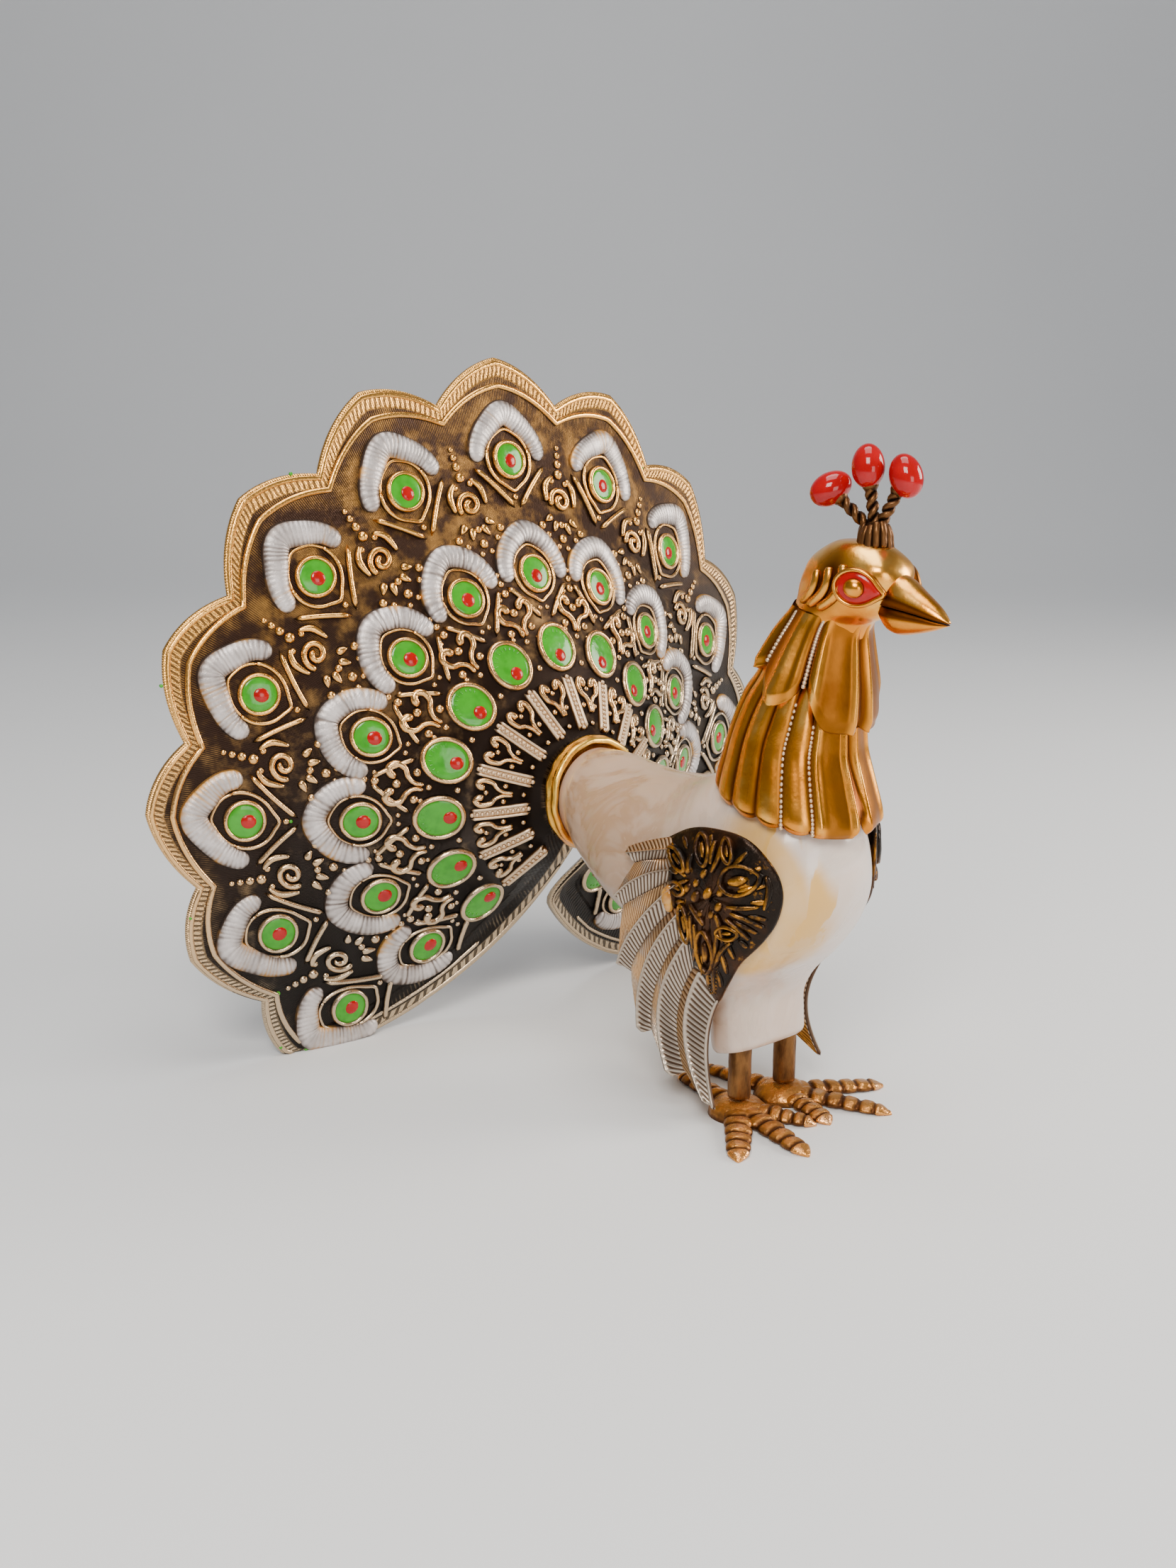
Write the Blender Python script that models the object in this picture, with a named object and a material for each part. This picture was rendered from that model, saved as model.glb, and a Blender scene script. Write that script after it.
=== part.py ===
"""Brass and mother-of-pearl peacock figurine with a spread, enamelled tail.

The bird faces -Y. The origin is on the ground under the middle of the figure, +Z is up, and lengths are
in metres. The figure's free forms (shell, neck, wings, tail) keep their proportions in shares of its height.
One share is a millimetre at the real size. Walls, rods, sockets and clearances are sizes of their own.
"""

import math

import bmesh
import bpy
from mathutils import Matrix, Vector

# Driving dimensions
FIGURE_HEIGHT = 0.116
SHARE = FIGURE_HEIGHT / 116
GAP = 0.0003                # clearance between neighbouring pieces

SHEET_THICKNESS = 0.0012    # stamped tail
WING_THICKNESS = 0.0010     # stamped wings
LEG_DIAMETER = 0.0037
LEG_SPREAD = 0.0102         # distance between the two leg axes
LEG_Y = -0.0199
LEG_SOCKET_DEPTH = 0.0050   # how far a leg reaches into the shell
FOOT_HEIGHT = 0.0026        # top of the foot's boss, where the leg stands
BOSS_WALL = 0.0016          # the foot's boss stands out round the leg
TOE_SHARE = 0.92            # a toe's height at its root, in shares of the foot's
COLLAR_RADIUS = 0.0100
COLLAR_LENGTH = 0.0028
COLLAR_LIP = 0.0014         # the collar's ring covers the edge of the tail's hole
COLLAR_CHAMFER = 0.0005
COLLAR_BEHIND = 0.0022      # length of its spigot behind the ring
COLLAR_DOME = 0.0012
STEM_RADIUS = 0.00085       # crest wires
CREST_RADIUS = 0.0024       # the block that they grow from
CREST_HEIGHT = 0.0030

# Tail: an open fan of thirteen lobes round the collar. A reach of 1 along a ray is FAN_RADIUS
LOBES = 13
LOBE_STEP = math.radians(19.84)
FAN_RADIUS = 52.0 * SHARE
TIP_REACH = 1.258
NOTCH_REACH = TIP_REACH - 0.103
OUTER_EYE_REACH = TIP_REACH - 0.272
MIDDLE_EYE_REACH = OUTER_EYE_REACH - 0.316
INNER_EYE_REACH = MIDDLE_EYE_REACH - 0.214
BAR_REACHES = (INNER_EYE_REACH - 0.236, INNER_EYE_REACH - 0.096)
EDGE_ANGLE = math.radians(121.0)     # where the straight lower edge leaves the lowest lobe's tip
EDGE_TAPER = math.radians(26.3)      # turn of the lower edge for one reach
EDGE_END_REACH = 0.20
FAN_CENTRE = Vector((0.0, 20.09, 29.25)) * SHARE
FAN_TILT = -0.1197
FAN_SPREAD = 0.0079                  # opens the rays towards the sides
FAN_WIDENING = (0.2587, -0.0294, 0.0245)       # of the reach, with the cosines of the ray, twice and thrice it
FAN_LIFT = (0.1581, 1.3)             # raises the middle: amount, and the reach where it ends
FAN_BOWL = (0.4881, -0.013, -0.0853, 0.1385)   # how the fan leans back with the radius and with the height
FAN_CURL = 0.0799                    # and with the distance to the side
LOW_START = math.radians(72)         # rays beyond this one are swept aside and back, to stand on the ground
LOW_RANGE = math.radians(47)
LOW_SWEEP = 7.5 * SHARE
LOW_DIRECTION = (0.637, 0.736, -0.23)
GROUND_EASE = 0.6 * SHARE            # the lowest tips bend where they meet the ground

# Raised on each lobe, in shares: reach, half size across and outward, and height of an eye's disc;
# a rope also has a width and the angle that it reaches on either side
EYE_DISCS = (
    (OUTER_EYE_REACH, 3.3, 3.3, 0.6),
    (MIDDLE_EYE_REACH, 3.2, 3.2, 0.6),
    (INNER_EYE_REACH, 3.8, 4.2, 0.7),
)
ROPES = (
    (OUTER_EYE_REACH, 7.0, 7.2, 3.4, 1.0, math.radians(96)),
    (MIDDLE_EYE_REACH, 5.2, 7.6, 3.0, 1.0, math.radians(80)),
)
BAR_WIDTH = 2.0
BAR_HEIGHT = 0.6

# Collar
COLLAR_CENTRE = Vector((0.0, 19.9, 43.0)) * SHARE
COLLAR_TILT = math.radians(2.7)
COLLAR_AXIS = Vector((0.0, -math.cos(COLLAR_TILT), math.sin(COLLAR_TILT)))
COLLAR_BACK_SLOPE = 0.62    # the ring's back is a cone that follows the tail's sheet
HOLE_RADIUS = COLLAR_RADIUS - COLLAR_LIP
SPIGOT_RADIUS = HOLE_RADIUS - SHEET_THICKNESS / 2 - GAP

# Shell: front and back of each cross-section in the mirror plane (y, z), half width and squareness
SHELL_SECTIONS = (
    ((20.4, 34.2), (20.8, 50.9), 8.3, 2.0),
    ((19.0, 33.6), (19.2, 51.0), 8.8, 2.0),
    ((15.0, 30.6), (14.6, 51.0), 10.2, 2.0),
    ((9.0, 26.8), (8.0, 50.2), 11.6, 2.0),
    ((3.0, 24.0), (1.0, 50.2), 12.3, 2.0),
    ((-2.0, 22.2), (-7.0, 51.4), 12.6, 2.0),
    ((-5.4, 21.2), (-16.0, 55.0), 12.6, 2.1),
    ((-7.6, 20.2), (-25.5, 55.6), 12.8, 2.2),
    ((-9.4, 19.2), (-33.2, 50.0), 12.9, 2.2),
    ((-10.6, 18.2), (-36.0, 41.6), 12.6, 2.1),
    ((-11.4, 17.2), (-34.4, 34.6), 11.8, 2.1),
    ((-12.2, 16.0), (-30.4, 28.4), 10.4, 2.1),
    ((-12.8, 15.2), (-26.0, 23.6), 9.0, 2.2),
    ((-13.2, 13.0), (-23.7, 19.6), 8.4, 2.4),
    ((-13.5, 11.2), (-23.6, 15.8), 8.2, 2.6),
    ((-14.2, 9.6), (-23.6, 12.8), 8.1, 2.8),
    ((-15.2, 9.1), (-23.0, 11.6), 7.8, 2.8),
)
SHELL_SIDES = 20

# Neck and head: front and back of each cross-section (y, z) and half width
CAPE_SECTIONS = (
    ((-38.2, 46.6), (-12.2, 51.6), 12.0),
    ((-37.9, 49.5), (-12.6, 54.3), 11.9),
    ((-36.6, 53.8), (-13.6, 58.2), 11.2),
    ((-35.2, 58.0), (-15.0, 63.0), 10.2),
    ((-34.8, 61.0), (-17.2, 68.0), 9.4),
)
NECK_SECTIONS = (
    ((-36.0, 61.2), (-16.9, 68.4), 10.2),
    ((-36.3, 64.0), (-18.2, 70.5), 9.7),
    ((-36.2, 68.5), (-20.0, 73.5), 8.4),
    ((-35.8, 73.0), (-22.0, 76.5), 7.0),
    ((-35.6, 76.5), (-24.0, 79.0), 6.0),
)
HEAD_SECTIONS = (
    ((-36.4, 78.2), (-24.8, 80.3), 5.7),
    ((-39.5, 79.3), (-25.3, 81.8), 5.9),
    ((-41.8, 81.3), (-25.6, 83.3), 6.3),
    ((-42.9, 83.6), (-26.2, 85.0), 6.3),
    ((-42.8, 85.8), (-27.3, 87.0), 5.7),
    ((-41.2, 87.9), (-29.4, 88.6), 4.4),
    ((-38.8, 89.5), (-32.4, 89.8), 2.6),
)
CAPE_SIDES = 44
HEAD_SIDES = CAPE_SIDES // 2
CAPE_GROOVES = (0, 5, 8, 11, 14, 17, 20)     # sides from the front seam, on both halves
NECK_GROOVES = (0, 8, 14, 18)
CAPE_GROOVE_DEPTH = 0.05                     # in shares of the radius
NECK_GROOVE_DEPTH = 0.07
BEAK_SECTIONS = (                            # y, z, half height, half width
    (-39.0, 82.2, 4.4, 3.6),
    (-43.0, 81.5, 4.0, 3.2),
    (-45.5, 80.9, 3.0, 2.2),
    (-48.5, 80.2, 1.7, 1.2),
    (-50.8, 79.6, 0.35, 0.3),
)
EYE_CENTRE = (4.6, -39.2, 84.2)
EYE_RADII = (1.5, 2.6, 2.0)
EYE_TURN = math.radians(25)
CREST_BASE = Vector((0.0, -37.4, 89.2)) * SHARE
BEAD_WIDTH = 0.0046
BEAD_LENGTH = 0.0062
BEADS = (                                    # centre and long axis, from the back to the front
    (Vector((-2.2, -30.9, 96.6)) * SHARE, Vector((0.728, -0.476, 0.494))),
    (Vector((-0.1, -35.6, 99.8)) * SHARE, Vector((0.144, 0.180, 0.973))),
    (Vector((1.9, -40.6, 98.6)) * SHARE, Vector((-0.048, 0.336, 0.941))),
)

# Feet: turn from straight ahead, length, and width at the root and at the tip of the three front toes
FRONT_TOES = (
    (0.0, 17.8, 4.6, 3.0),
    (math.radians(36), 17.6, 4.6, 3.0),
    (math.radians(-38), 12.6, 4.0, 2.6),
)
BACK_TOE = (17.0, 4.4, 2.6)
TOE_SECTION = ((-0.9, 0.0), (-0.95, 0.5), (0.0, 1.0), (0.95, 0.5), (0.9, 0.0))    # half widths, heights

# Wing, seen from the side (y, z): the shoulder's outline, from its upper rear corner forwards and down
SHOULDER_OUTLINE = (
    (-12.1, 44.6), (-16.4, 46.8), (-21.2, 47.7), (-27.4, 47.4), (-30.7, 44.1), (-32.0, 40.0),
    (-31.6, 35.6), (-29.9, 31.9), (-26.9, 28.1), (-24.6, 23.9), (-22.8, 20.8), (-20.4, 22.4),
    (-17.5, 25.2), (-15.0, 30.0), (-13.2, 34.5), (-12.2, 39.5),
)
SHOULDER_MIDDLE = (-22.8, 38.0)
SHOULDER_DOME = ((0.6, 0.0), (1.0, 0.0), (1.0, 0.6), (0.84, 1.6), (0.45, 2.3))    # size, height in thicknesses
WING_SIDE = 13.25           # the wings' inner faces stand this far from the mirror plane
WING_WRAP = (-26.0, 0.09)   # and close round the breast in front of this y
WING_LEAN = (38.0, 0.02)    # and draw in below this z
WING_HUG = 2.05             # they bend closer to the shell below the belly
WING_WAIST = (13.0, 17.0)   # most at this z, and over this range either side
WING_HUG_SHIFT = (1.16, -0.36)       # y and z for each share of that bend
WING_LIFTS = (0.0, 2.4)     # the left wing sits higher
MIDRIB_HEIGHT = 1.4         # in thicknesses
EDGE_HEIGHT = 0.6
INNER_HEIGHT = 0.1
# Root, bend and tip of each feather's upper edge and of its midrib, top feather first
WING_RIBS = (
    ((-12.1, 44.5), (-7.1, 43.1), (-2.7, 41.0)),
    ((-12.1, 42.8), (-7.9, 41.7), (-2.5, 40.1)),
    ((-12.2, 41.2), (-7.4, 40.0), (-4.2, 38.7)),
    ((-12.5, 39.6), (-5.3, 37.8), (-0.1, 32.1)),
    ((-12.7, 37.9), (-6.0, 34.1), (-1.4, 30.9)),
    ((-12.5, 36.1), (-2.8, 27.8), (-1.2, 20.8)),
    ((-13.8, 34.0), (-4.9, 26.2), (-3.7, 20.4)),
    ((-14.0, 32.3), (-4.6, 22.4), (-6.4, 10.8)),
    ((-15.0, 29.7), (-8.0, 21.1), (-8.5, 11.8)),
    ((-15.8, 28.3), (-7.4, 16.4), (-13.4, 5.7)),
    ((-17.5, 24.8), (-12.1, 15.8), (-16.1, 7.3)),
    ((-18.7, 23.2), (-13.9, 12.6), (-21.7, 3.8)),
    ((-23.2, 21.6), (-19.1, 13.6), (-22.5, 3.4)),
)


def material(name, colour, roughness, metallic):
    """A plain surface of one colour."""
    finish = bpy.data.materials.new(name)
    finish.use_nodes = True
    shader = finish.node_tree.nodes["Principled BSDF"]
    shader.inputs["Base Color"].default_value = (*colour, 1.0)
    shader.inputs["Roughness"].default_value = roughness
    shader.inputs["Metallic"].default_value = metallic
    finish.diffuse_color = (*colour, 1.0)
    return finish


def new_object(name, mesh_source, finish, place=Vector((0, 0, 0))):
    """An object whose mesh is given in the figure's frame and whose origin is at place."""
    mesh = bpy.data.meshes.new(name)
    bmesh.ops.recalc_face_normals(mesh_source, faces=mesh_source.faces)
    bmesh.ops.translate(mesh_source, verts=mesh_source.verts, vec=-Vector(place))
    mesh_source.to_mesh(mesh)
    mesh_source.free()
    mesh.shade_smooth()
    mesh.set_sharp_from_angle(angle=math.radians(40))
    if finish:
        mesh.materials.append(finish)
    made = bpy.data.objects.new(name, mesh)
    made.location = place
    bpy.context.collection.objects.link(made)
    return made


def loft(mesh, rings):
    """Skins a row of rings and closes both ends. A ring has as many points as the one before, or half."""
    rows = [[mesh.verts.new(point) for point in ring] for ring in rings]
    for low, high in zip(rows, rows[1:]):
        sides = len(high)
        step = len(low) // sides
        for side in range(sides):
            following = (side + 1) % sides
            start, end = step * side, step * (side + 1) % len(low)
            if step == 2:
                mesh.faces.new((low[start], low[start + 1], high[side]))
            mesh.faces.new((low[start + step - 1], low[end], high[following], high[side]))
    for row in (rows[0], rows[-1]):
        middle = mesh.verts.new(sum((corner.co for corner in row), Vector()) / len(row))
        for side in range(len(row)):
            mesh.faces.new((middle, row[side], row[(side + 1) % len(row)]))


def turned(mesh, profile, sides, place, axis=Vector((0, -1, 0))):
    """Turns (radius, distance along the axis) points into a solid, closed at both ends."""
    turn = axis.to_track_quat("Z", "Y").to_matrix()
    rings = []
    for radius, along in profile:
        ring = [
            place + turn @ Vector((radius * math.cos(a), radius * math.sin(a), along))
            for a in (2 * math.pi * side / sides for side in range(sides))
        ]
        rings.append(ring)
    loft(mesh, rings)


def hidden(name, mesh_source):
    """A hidden form that is joined to another piece or taken away from it."""
    made = new_object(name, mesh_source, None)
    made.hide_render = True
    made.display_type = "WIRE"
    return made


def boolean(piece, other, operation, many=False):
    """Joins a hidden piece to another, or takes it away; many is for a tool of several overlapping bodies."""
    change = piece.modifiers.new(other.name, "BOOLEAN")
    change.operation = operation
    change.solver = "EXACT"
    change.object = other
    change.use_self = many


def fan_point(reach, ray, lift=0.0):
    """A point of the tail: reach along a ray, ray's angle from straight up, and height over the mid-surface."""
    if lift:
        along = 0.004
        by_reach = fan_point(reach + along, ray) - fan_point(reach - along, ray)
        by_ray = fan_point(reach, ray + along) - fan_point(reach, ray - along)
        return fan_point(reach, ray) + by_ray.cross(by_reach).normalized() * lift
    spread = ray + FAN_SPREAD * ray ** 3
    widening = sum(share * math.cos(turns * spread) for turns, share in enumerate(FAN_WIDENING, 1))
    radius = reach * (1 + widening)
    across = radius * math.sin(spread)
    upward = radius * math.cos(spread) + FAN_LIFT[0] * (FAN_LIFT[1] - reach) ** 2
    lean = FAN_BOWL[0] + FAN_BOWL[1] * radius + FAN_BOWL[2] * radius ** 2 + FAN_BOWL[3] * upward
    back = radius * lean + FAN_CURL * across ** 2
    point = FAN_CENTRE + FAN_RADIUS * Vector((
        across,
        upward * math.sin(FAN_TILT) + back * math.cos(FAN_TILT),
        upward * math.cos(FAN_TILT) - back * math.sin(FAN_TILT),
    ))
    low = min(max(0.0, (abs(ray) - LOW_START) / LOW_RANGE), 1.25) ** 1.6
    start = min(max(0.0, (reach - 0.15) / 0.31), 1.0)
    sweep = LOW_SWEEP * low * start * start * (3 - 2 * start) * (1.25 - 0.72 * reach)
    inward, backward, upward = LOW_DIRECTION
    point += sweep * Vector((-math.copysign(inward, ray), backward, upward))
    point.z = 0.5 * (point.z + math.sqrt(point.z ** 2 + GROUND_EASE ** 2))
    return point


def hole_reach(ray):
    """The reach at which a ray meets the round hole in the middle of the tail."""
    low, high = 0.02, 0.4
    for _ in range(24):
        reach = (low + high) / 2
        point = fan_point(reach, ray)
        if math.hypot(point.x - COLLAR_CENTRE.x, point.z - COLLAR_CENTRE.z) < HOLE_RADIUS:
            low = reach
        else:
            high = reach
    return high


def outline_reach(ray):
    """The scalloped outline: pointed lobes, and a straight lower edge beyond the lowest tips."""
    across = abs(ray) / LOBE_STEP
    if across <= LOBES // 2:
        off_tip = 2 * abs(across - round(across))
        rise = 0.62 * (1 - off_tip ** 2) + 0.38 * (1 - off_tip)
        return NOTCH_REACH + (TIP_REACH - NOTCH_REACH) * rise
    return TIP_REACH - max(0.0, (abs(ray) - EDGE_ANGLE) / EDGE_TAPER)


def eye_point(ray, reach, across, outward, lift):
    """A point beside a tail eye, across and outward in metres."""
    centre = fan_point(reach, ray)
    along = 0.01
    per_ray = (fan_point(reach, ray + along) - centre).length / along
    per_reach = (fan_point(reach + along, ray) - centre).length / along
    return fan_point(reach + outward / per_reach, ray + across / per_ray, lift)


def add_disc(mesh, ray, reach, across, outward, height, sides=6):
    """A raised oval disc under an enamelled eye."""
    rings = []
    for lift in (0.0, SHEET_THICKNESS / 2 + height):
        ring = []
        for side in range(sides):
            angle = 2 * math.pi * (side + 0.5) / sides
            ring.append(eye_point(ray, reach, across * math.sin(angle), outward * math.cos(angle), lift))
        rings.append(ring)
    loft(mesh, rings)


def add_horseshoe(mesh, ray, reach, across, outward, width, height, swing, steps=5):
    """A raised rope round the outer side of an eye."""
    rings = []
    for step in range(steps + 1):
        angle = swing * (2 * step / steps - 1)
        ring = []
        for side, raised in ((-0.5, False), (-0.3, True), (0.3, True), (0.5, False)):
            off = side * width
            rise = SHEET_THICKNESS / 2 + height if raised else 0.0
            ring.append(eye_point(
                ray, reach, (across + off) * math.sin(angle), (outward + off) * math.cos(angle), rise))
        rings.append(ring)
    loft(mesh, rings)


def add_bar(mesh, ray, near, far, width, height):
    """A straight raised bar along a ray."""
    rings = []
    for reach in (near, far):
        half = width / 2
        rings.append([
            eye_point(ray, reach, -half, 0.0, 0.0),
            eye_point(ray, reach, -half * 0.8, 0.0, SHEET_THICKNESS / 2 + height),
            eye_point(ray, reach, half * 0.8, 0.0, SHEET_THICKNESS / 2 + height),
            eye_point(ray, reach, half, 0.0, 0.0),
        ])
    loft(mesh, rings)


def sheet_corner(mesh, reach, ray, lift):
    """A vertex of the tail's sheet; the lowest tips are flattened on the ground."""
    point = fan_point(reach, ray, lift)
    point.z = max(point.z, 0.0)
    return mesh.verts.new(point)


def tail_side(mesh, rays, lift):
    """One side of the tail's sheet. Returns its border's vertices in turn."""
    rows = 3
    columns = []
    for ray in rays:
        inner, outer = hole_reach(ray), outline_reach(ray)
        reaches = [inner + (outer - inner) * row / rows for row in range(rows + 1)]
        columns.append([sheet_corner(mesh, reach, ray, lift) for reach in reaches])
    flanks = []
    for ray, following in zip(rays, rays[1:]):
        middle = (ray + following) / 2
        flanks.append(sheet_corner(mesh, outline_reach(middle), middle, lift))
    for here, there, flank in zip(columns, columns[1:], flanks):
        for row in range(rows - 1):
            mesh.faces.new((here[row], there[row], there[row + 1], here[row + 1]))
        mesh.faces.new((here[-2], there[-2], there[-1], flank, here[-1]))
    border = [column[0] for column in columns] + columns[-1][1:]
    for column, flank in zip(reversed(columns[:-1]), reversed(flanks)):
        border += [flank, column[-1]]
    return border + columns[0][-2:0:-1]


def make_tail(finish):
    """The stamped sheet with its ropes, discs and bars."""
    end_ray = EDGE_ANGLE + (TIP_REACH - EDGE_END_REACH) * EDGE_TAPER
    rays = [LOBE_STEP * step / 2 for step in range(LOBES)]
    edge_steps = 4
    rays += [EDGE_ANGLE + (end_ray - EDGE_ANGLE) * step / edge_steps for step in range(edge_steps + 1)]
    rays = [-ray for ray in reversed(rays[1:])] + rays
    sheet = bmesh.new()
    back = tail_side(sheet, rays, -SHEET_THICKNESS / 2)
    front = tail_side(sheet, rays, SHEET_THICKNESS / 2)
    for corner in range(len(back)):
        sheet.faces.new((back[corner - 1], back[corner], front[corner], front[corner - 1]))
    bmesh.ops.triangulate(sheet, faces=sheet.faces)
    tail = new_object("tail_fan", sheet, finish, FAN_CENTRE)

    relief = bmesh.new()
    for lobe in range(LOBES):
        ray = (lobe - LOBES // 2) * LOBE_STEP
        for reach, across, outward, width, height, swing in ROPES:
            sizes = (across * SHARE, outward * SHARE, width * SHARE, height * SHARE)
            add_horseshoe(relief, ray, reach, *sizes, swing)
        for reach, across, outward, height in EYE_DISCS:
            add_disc(relief, ray, reach, across * SHARE, outward * SHARE, height * SHARE)
        add_bar(relief, ray, *BAR_REACHES, BAR_WIDTH * SHARE, BAR_HEIGHT * SHARE)
    boolean(tail, hidden("tail_relief", relief), "UNION")
    return tail


def make_collar(finish):
    """The gilt ring: it seats the shell in front and passes through the tail's hole to a low dome behind."""
    back = -COLLAR_LENGTH
    end = back - COLLAR_BEHIND
    ring = bmesh.new()
    profile = (
        (COLLAR_RADIUS - COLLAR_CHAMFER, 0.0),
        (COLLAR_RADIUS, -COLLAR_CHAMFER),
        (COLLAR_RADIUS, back + COLLAR_CHAMFER),
        (COLLAR_RADIUS - COLLAR_CHAMFER, back + COLLAR_BACK_SLOPE * COLLAR_CHAMFER),
        (SPIGOT_RADIUS, back + COLLAR_BACK_SLOPE * (COLLAR_RADIUS - SPIGOT_RADIUS)),
        (SPIGOT_RADIUS, end),
        (SPIGOT_RADIUS * 0.7, end - COLLAR_DOME),
    )
    turned(ring, profile, 20, COLLAR_CENTRE, COLLAR_AXIS)
    collar = new_object("tail_collar", ring, finish, COLLAR_CENTRE)
    boolean(collar, hidden("shell_end", shell_mesh(GAP)), "DIFFERENCE")
    return collar


def oval_ring(front, back, half_width, sides, squareness=2.0, grow=0.0, grooves=None):
    """A cross-section through two points of the mirror plane, first point first."""
    first = Vector((0.0, front[0], front[1])) * SHARE
    last = Vector((0.0, back[0], back[1])) * SHARE
    centre = (first + last) / 2
    along = first - centre
    depth = along.length + grow
    along.normalize()
    width = half_width * SHARE + grow
    ring = []
    for side in range(sides):
        angle = 2 * math.pi * side / sides
        c, s = math.cos(angle), math.sin(angle)
        size = (abs(c) ** squareness + abs(s) ** squareness) ** (-1 / squareness)
        if grooves:
            size *= grooves(side)
        ring.append(centre + along * (depth * size * c) + Vector((width * size * s, 0.0, 0.0)))
    return ring


def shell_mesh(grow=0.0):
    """The shell body, or the same form grown all round for clearance."""
    mesh = bmesh.new()
    rings = [
        oval_ring(low, high, width, SHELL_SIDES, square, grow)
        for low, high, width, square in SHELL_SECTIONS
    ]
    loft(mesh, rings)
    return mesh


def make_shell(finish):
    """The bent horn of polished shell, drilled for the legs."""
    place = Vector((0.0, -10.0, 37.0)) * SHARE
    shell = new_object("body_shell", shell_mesh(), finish, place)
    holes = bmesh.new()
    for side in (-1, 1):
        bore = ((LEG_DIAMETER / 2 + GAP, -0.02), (LEG_DIAMETER / 2 + GAP, leg_top() + GAP))
        turned(holes, bore, 12, Vector((side * LEG_SPREAD / 2, LEG_Y, 0.0)), Vector((0, 0, 1)))
    boolean(shell, hidden("leg_holes", holes), "DIFFERENCE")
    return shell


def leg_top():
    """The height of a leg's upper end inside the shell."""
    low, high = SHELL_SECTIONS[-1][0], SHELL_SECTIONS[-1][1]
    return (low[1] + high[1]) / 2 * SHARE + LEG_SOCKET_DEPTH


def grooving(grooves, depth, width=0.8):
    """How the neck's radius dips in its grooves, by side."""
    marks = set(grooves) | {CAPE_SIDES - groove for groove in grooves}

    def size(side):
        nearest = min(min(abs(side - mark), CAPE_SIDES - abs(side - mark)) for mark in marks)
        return 1.0 - depth * math.exp(-(nearest / width) ** 2)

    return size


def make_neck(finish):
    """The brass cape, head and beak, seated on the shell."""
    mesh = bmesh.new()
    rings = [
        oval_ring(front, back, width, CAPE_SIDES, 2.0, 0.0, grooving(CAPE_GROOVES, CAPE_GROOVE_DEPTH))
        for front, back, width in CAPE_SECTIONS
    ]
    rings += [
        oval_ring(front, back, width, CAPE_SIDES, 2.0, 0.0, grooving(NECK_GROOVES, NECK_GROOVE_DEPTH))
        for front, back, width in NECK_SECTIONS
    ]
    rings += [oval_ring(front, back, width, HEAD_SIDES) for front, back, width in HEAD_SECTIONS]
    loft(mesh, rings)
    place = Vector((0.0, -30.0, 70.0)) * SHARE
    neck = new_object("neck_and_head", mesh, finish, place)

    beak = bmesh.new()
    beak_rings = []
    for y, z, half_height, half_width in BEAK_SECTIONS:
        ring = []
        for side in range(8):
            angle = 2 * math.pi * side / 8
            ring.append(Vector((half_width * math.sin(angle), y, z + half_height * math.cos(angle))) * SHARE)
        beak_rings.append(ring)
    loft(beak, beak_rings)
    for side in (-1, 1):
        centre = Vector((side * EYE_CENTRE[0], *EYE_CENTRE[1:])) * SHARE
        turn = Matrix.Rotation(side * EYE_TURN, 4, "Z")
        size = Matrix.Diagonal((*(Vector(EYE_RADII) * SHARE), 1.0))
        bmesh.ops.create_icosphere(
            beak, subdivisions=2, radius=1.0, matrix=Matrix.Translation(centre) @ turn @ size)
    boolean(neck, hidden("beak_and_eyes", beak), "UNION", True)
    boolean(neck, hidden("shell_seat", shell_mesh(GAP)), "DIFFERENCE")
    seat = bmesh.new()
    turned(seat, ((CREST_RADIUS + GAP, -GAP), (CREST_RADIUS + GAP, 0.01)), 12, CREST_BASE, Vector((0, 0, 1)))
    boolean(neck, hidden("crest_seat", seat), "DIFFERENCE")
    return neck


def make_leg(name, side, finish):
    """A round rod from the foot's boss into the shell."""
    rod = bmesh.new()
    place = Vector((side * LEG_SPREAD / 2, LEG_Y, FOOT_HEIGHT + GAP))
    radius = LEG_DIAMETER / 2
    turned(rod, ((radius, 0.0), (radius, leg_top() - place.z)), 12, place, Vector((0, 0, 1)))
    return new_object(name, rod, finish, place)


def add_toe(mesh, angle, length, root_width, tip_width, height):
    """A ringed toe with a flat sole and a claw, from the foot's middle outwards."""
    forward = Vector((math.sin(angle), -math.cos(angle), 0.0))
    aside = Vector((math.cos(angle), math.sin(angle), 0.0))
    rings = []
    knuckles = 5
    for step in range(knuckles + 1):
        along = step / knuckles
        swell = 1.0 if step % 2 else 0.84
        width = (root_width + (tip_width - root_width) * along) * swell / 2
        rise = height * (1.0 - 0.5 * along) * swell
        if step == knuckles:
            width, rise = tip_width * 0.18, height * 0.22
        centre = forward * (length * along - 0.0006 * (1 - along))
        rings.append([
            centre + aside * (width * x) + Vector((0, 0, rise * z))
            for x, z in TOE_SECTION
        ])
    loft(mesh, rings)


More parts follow.
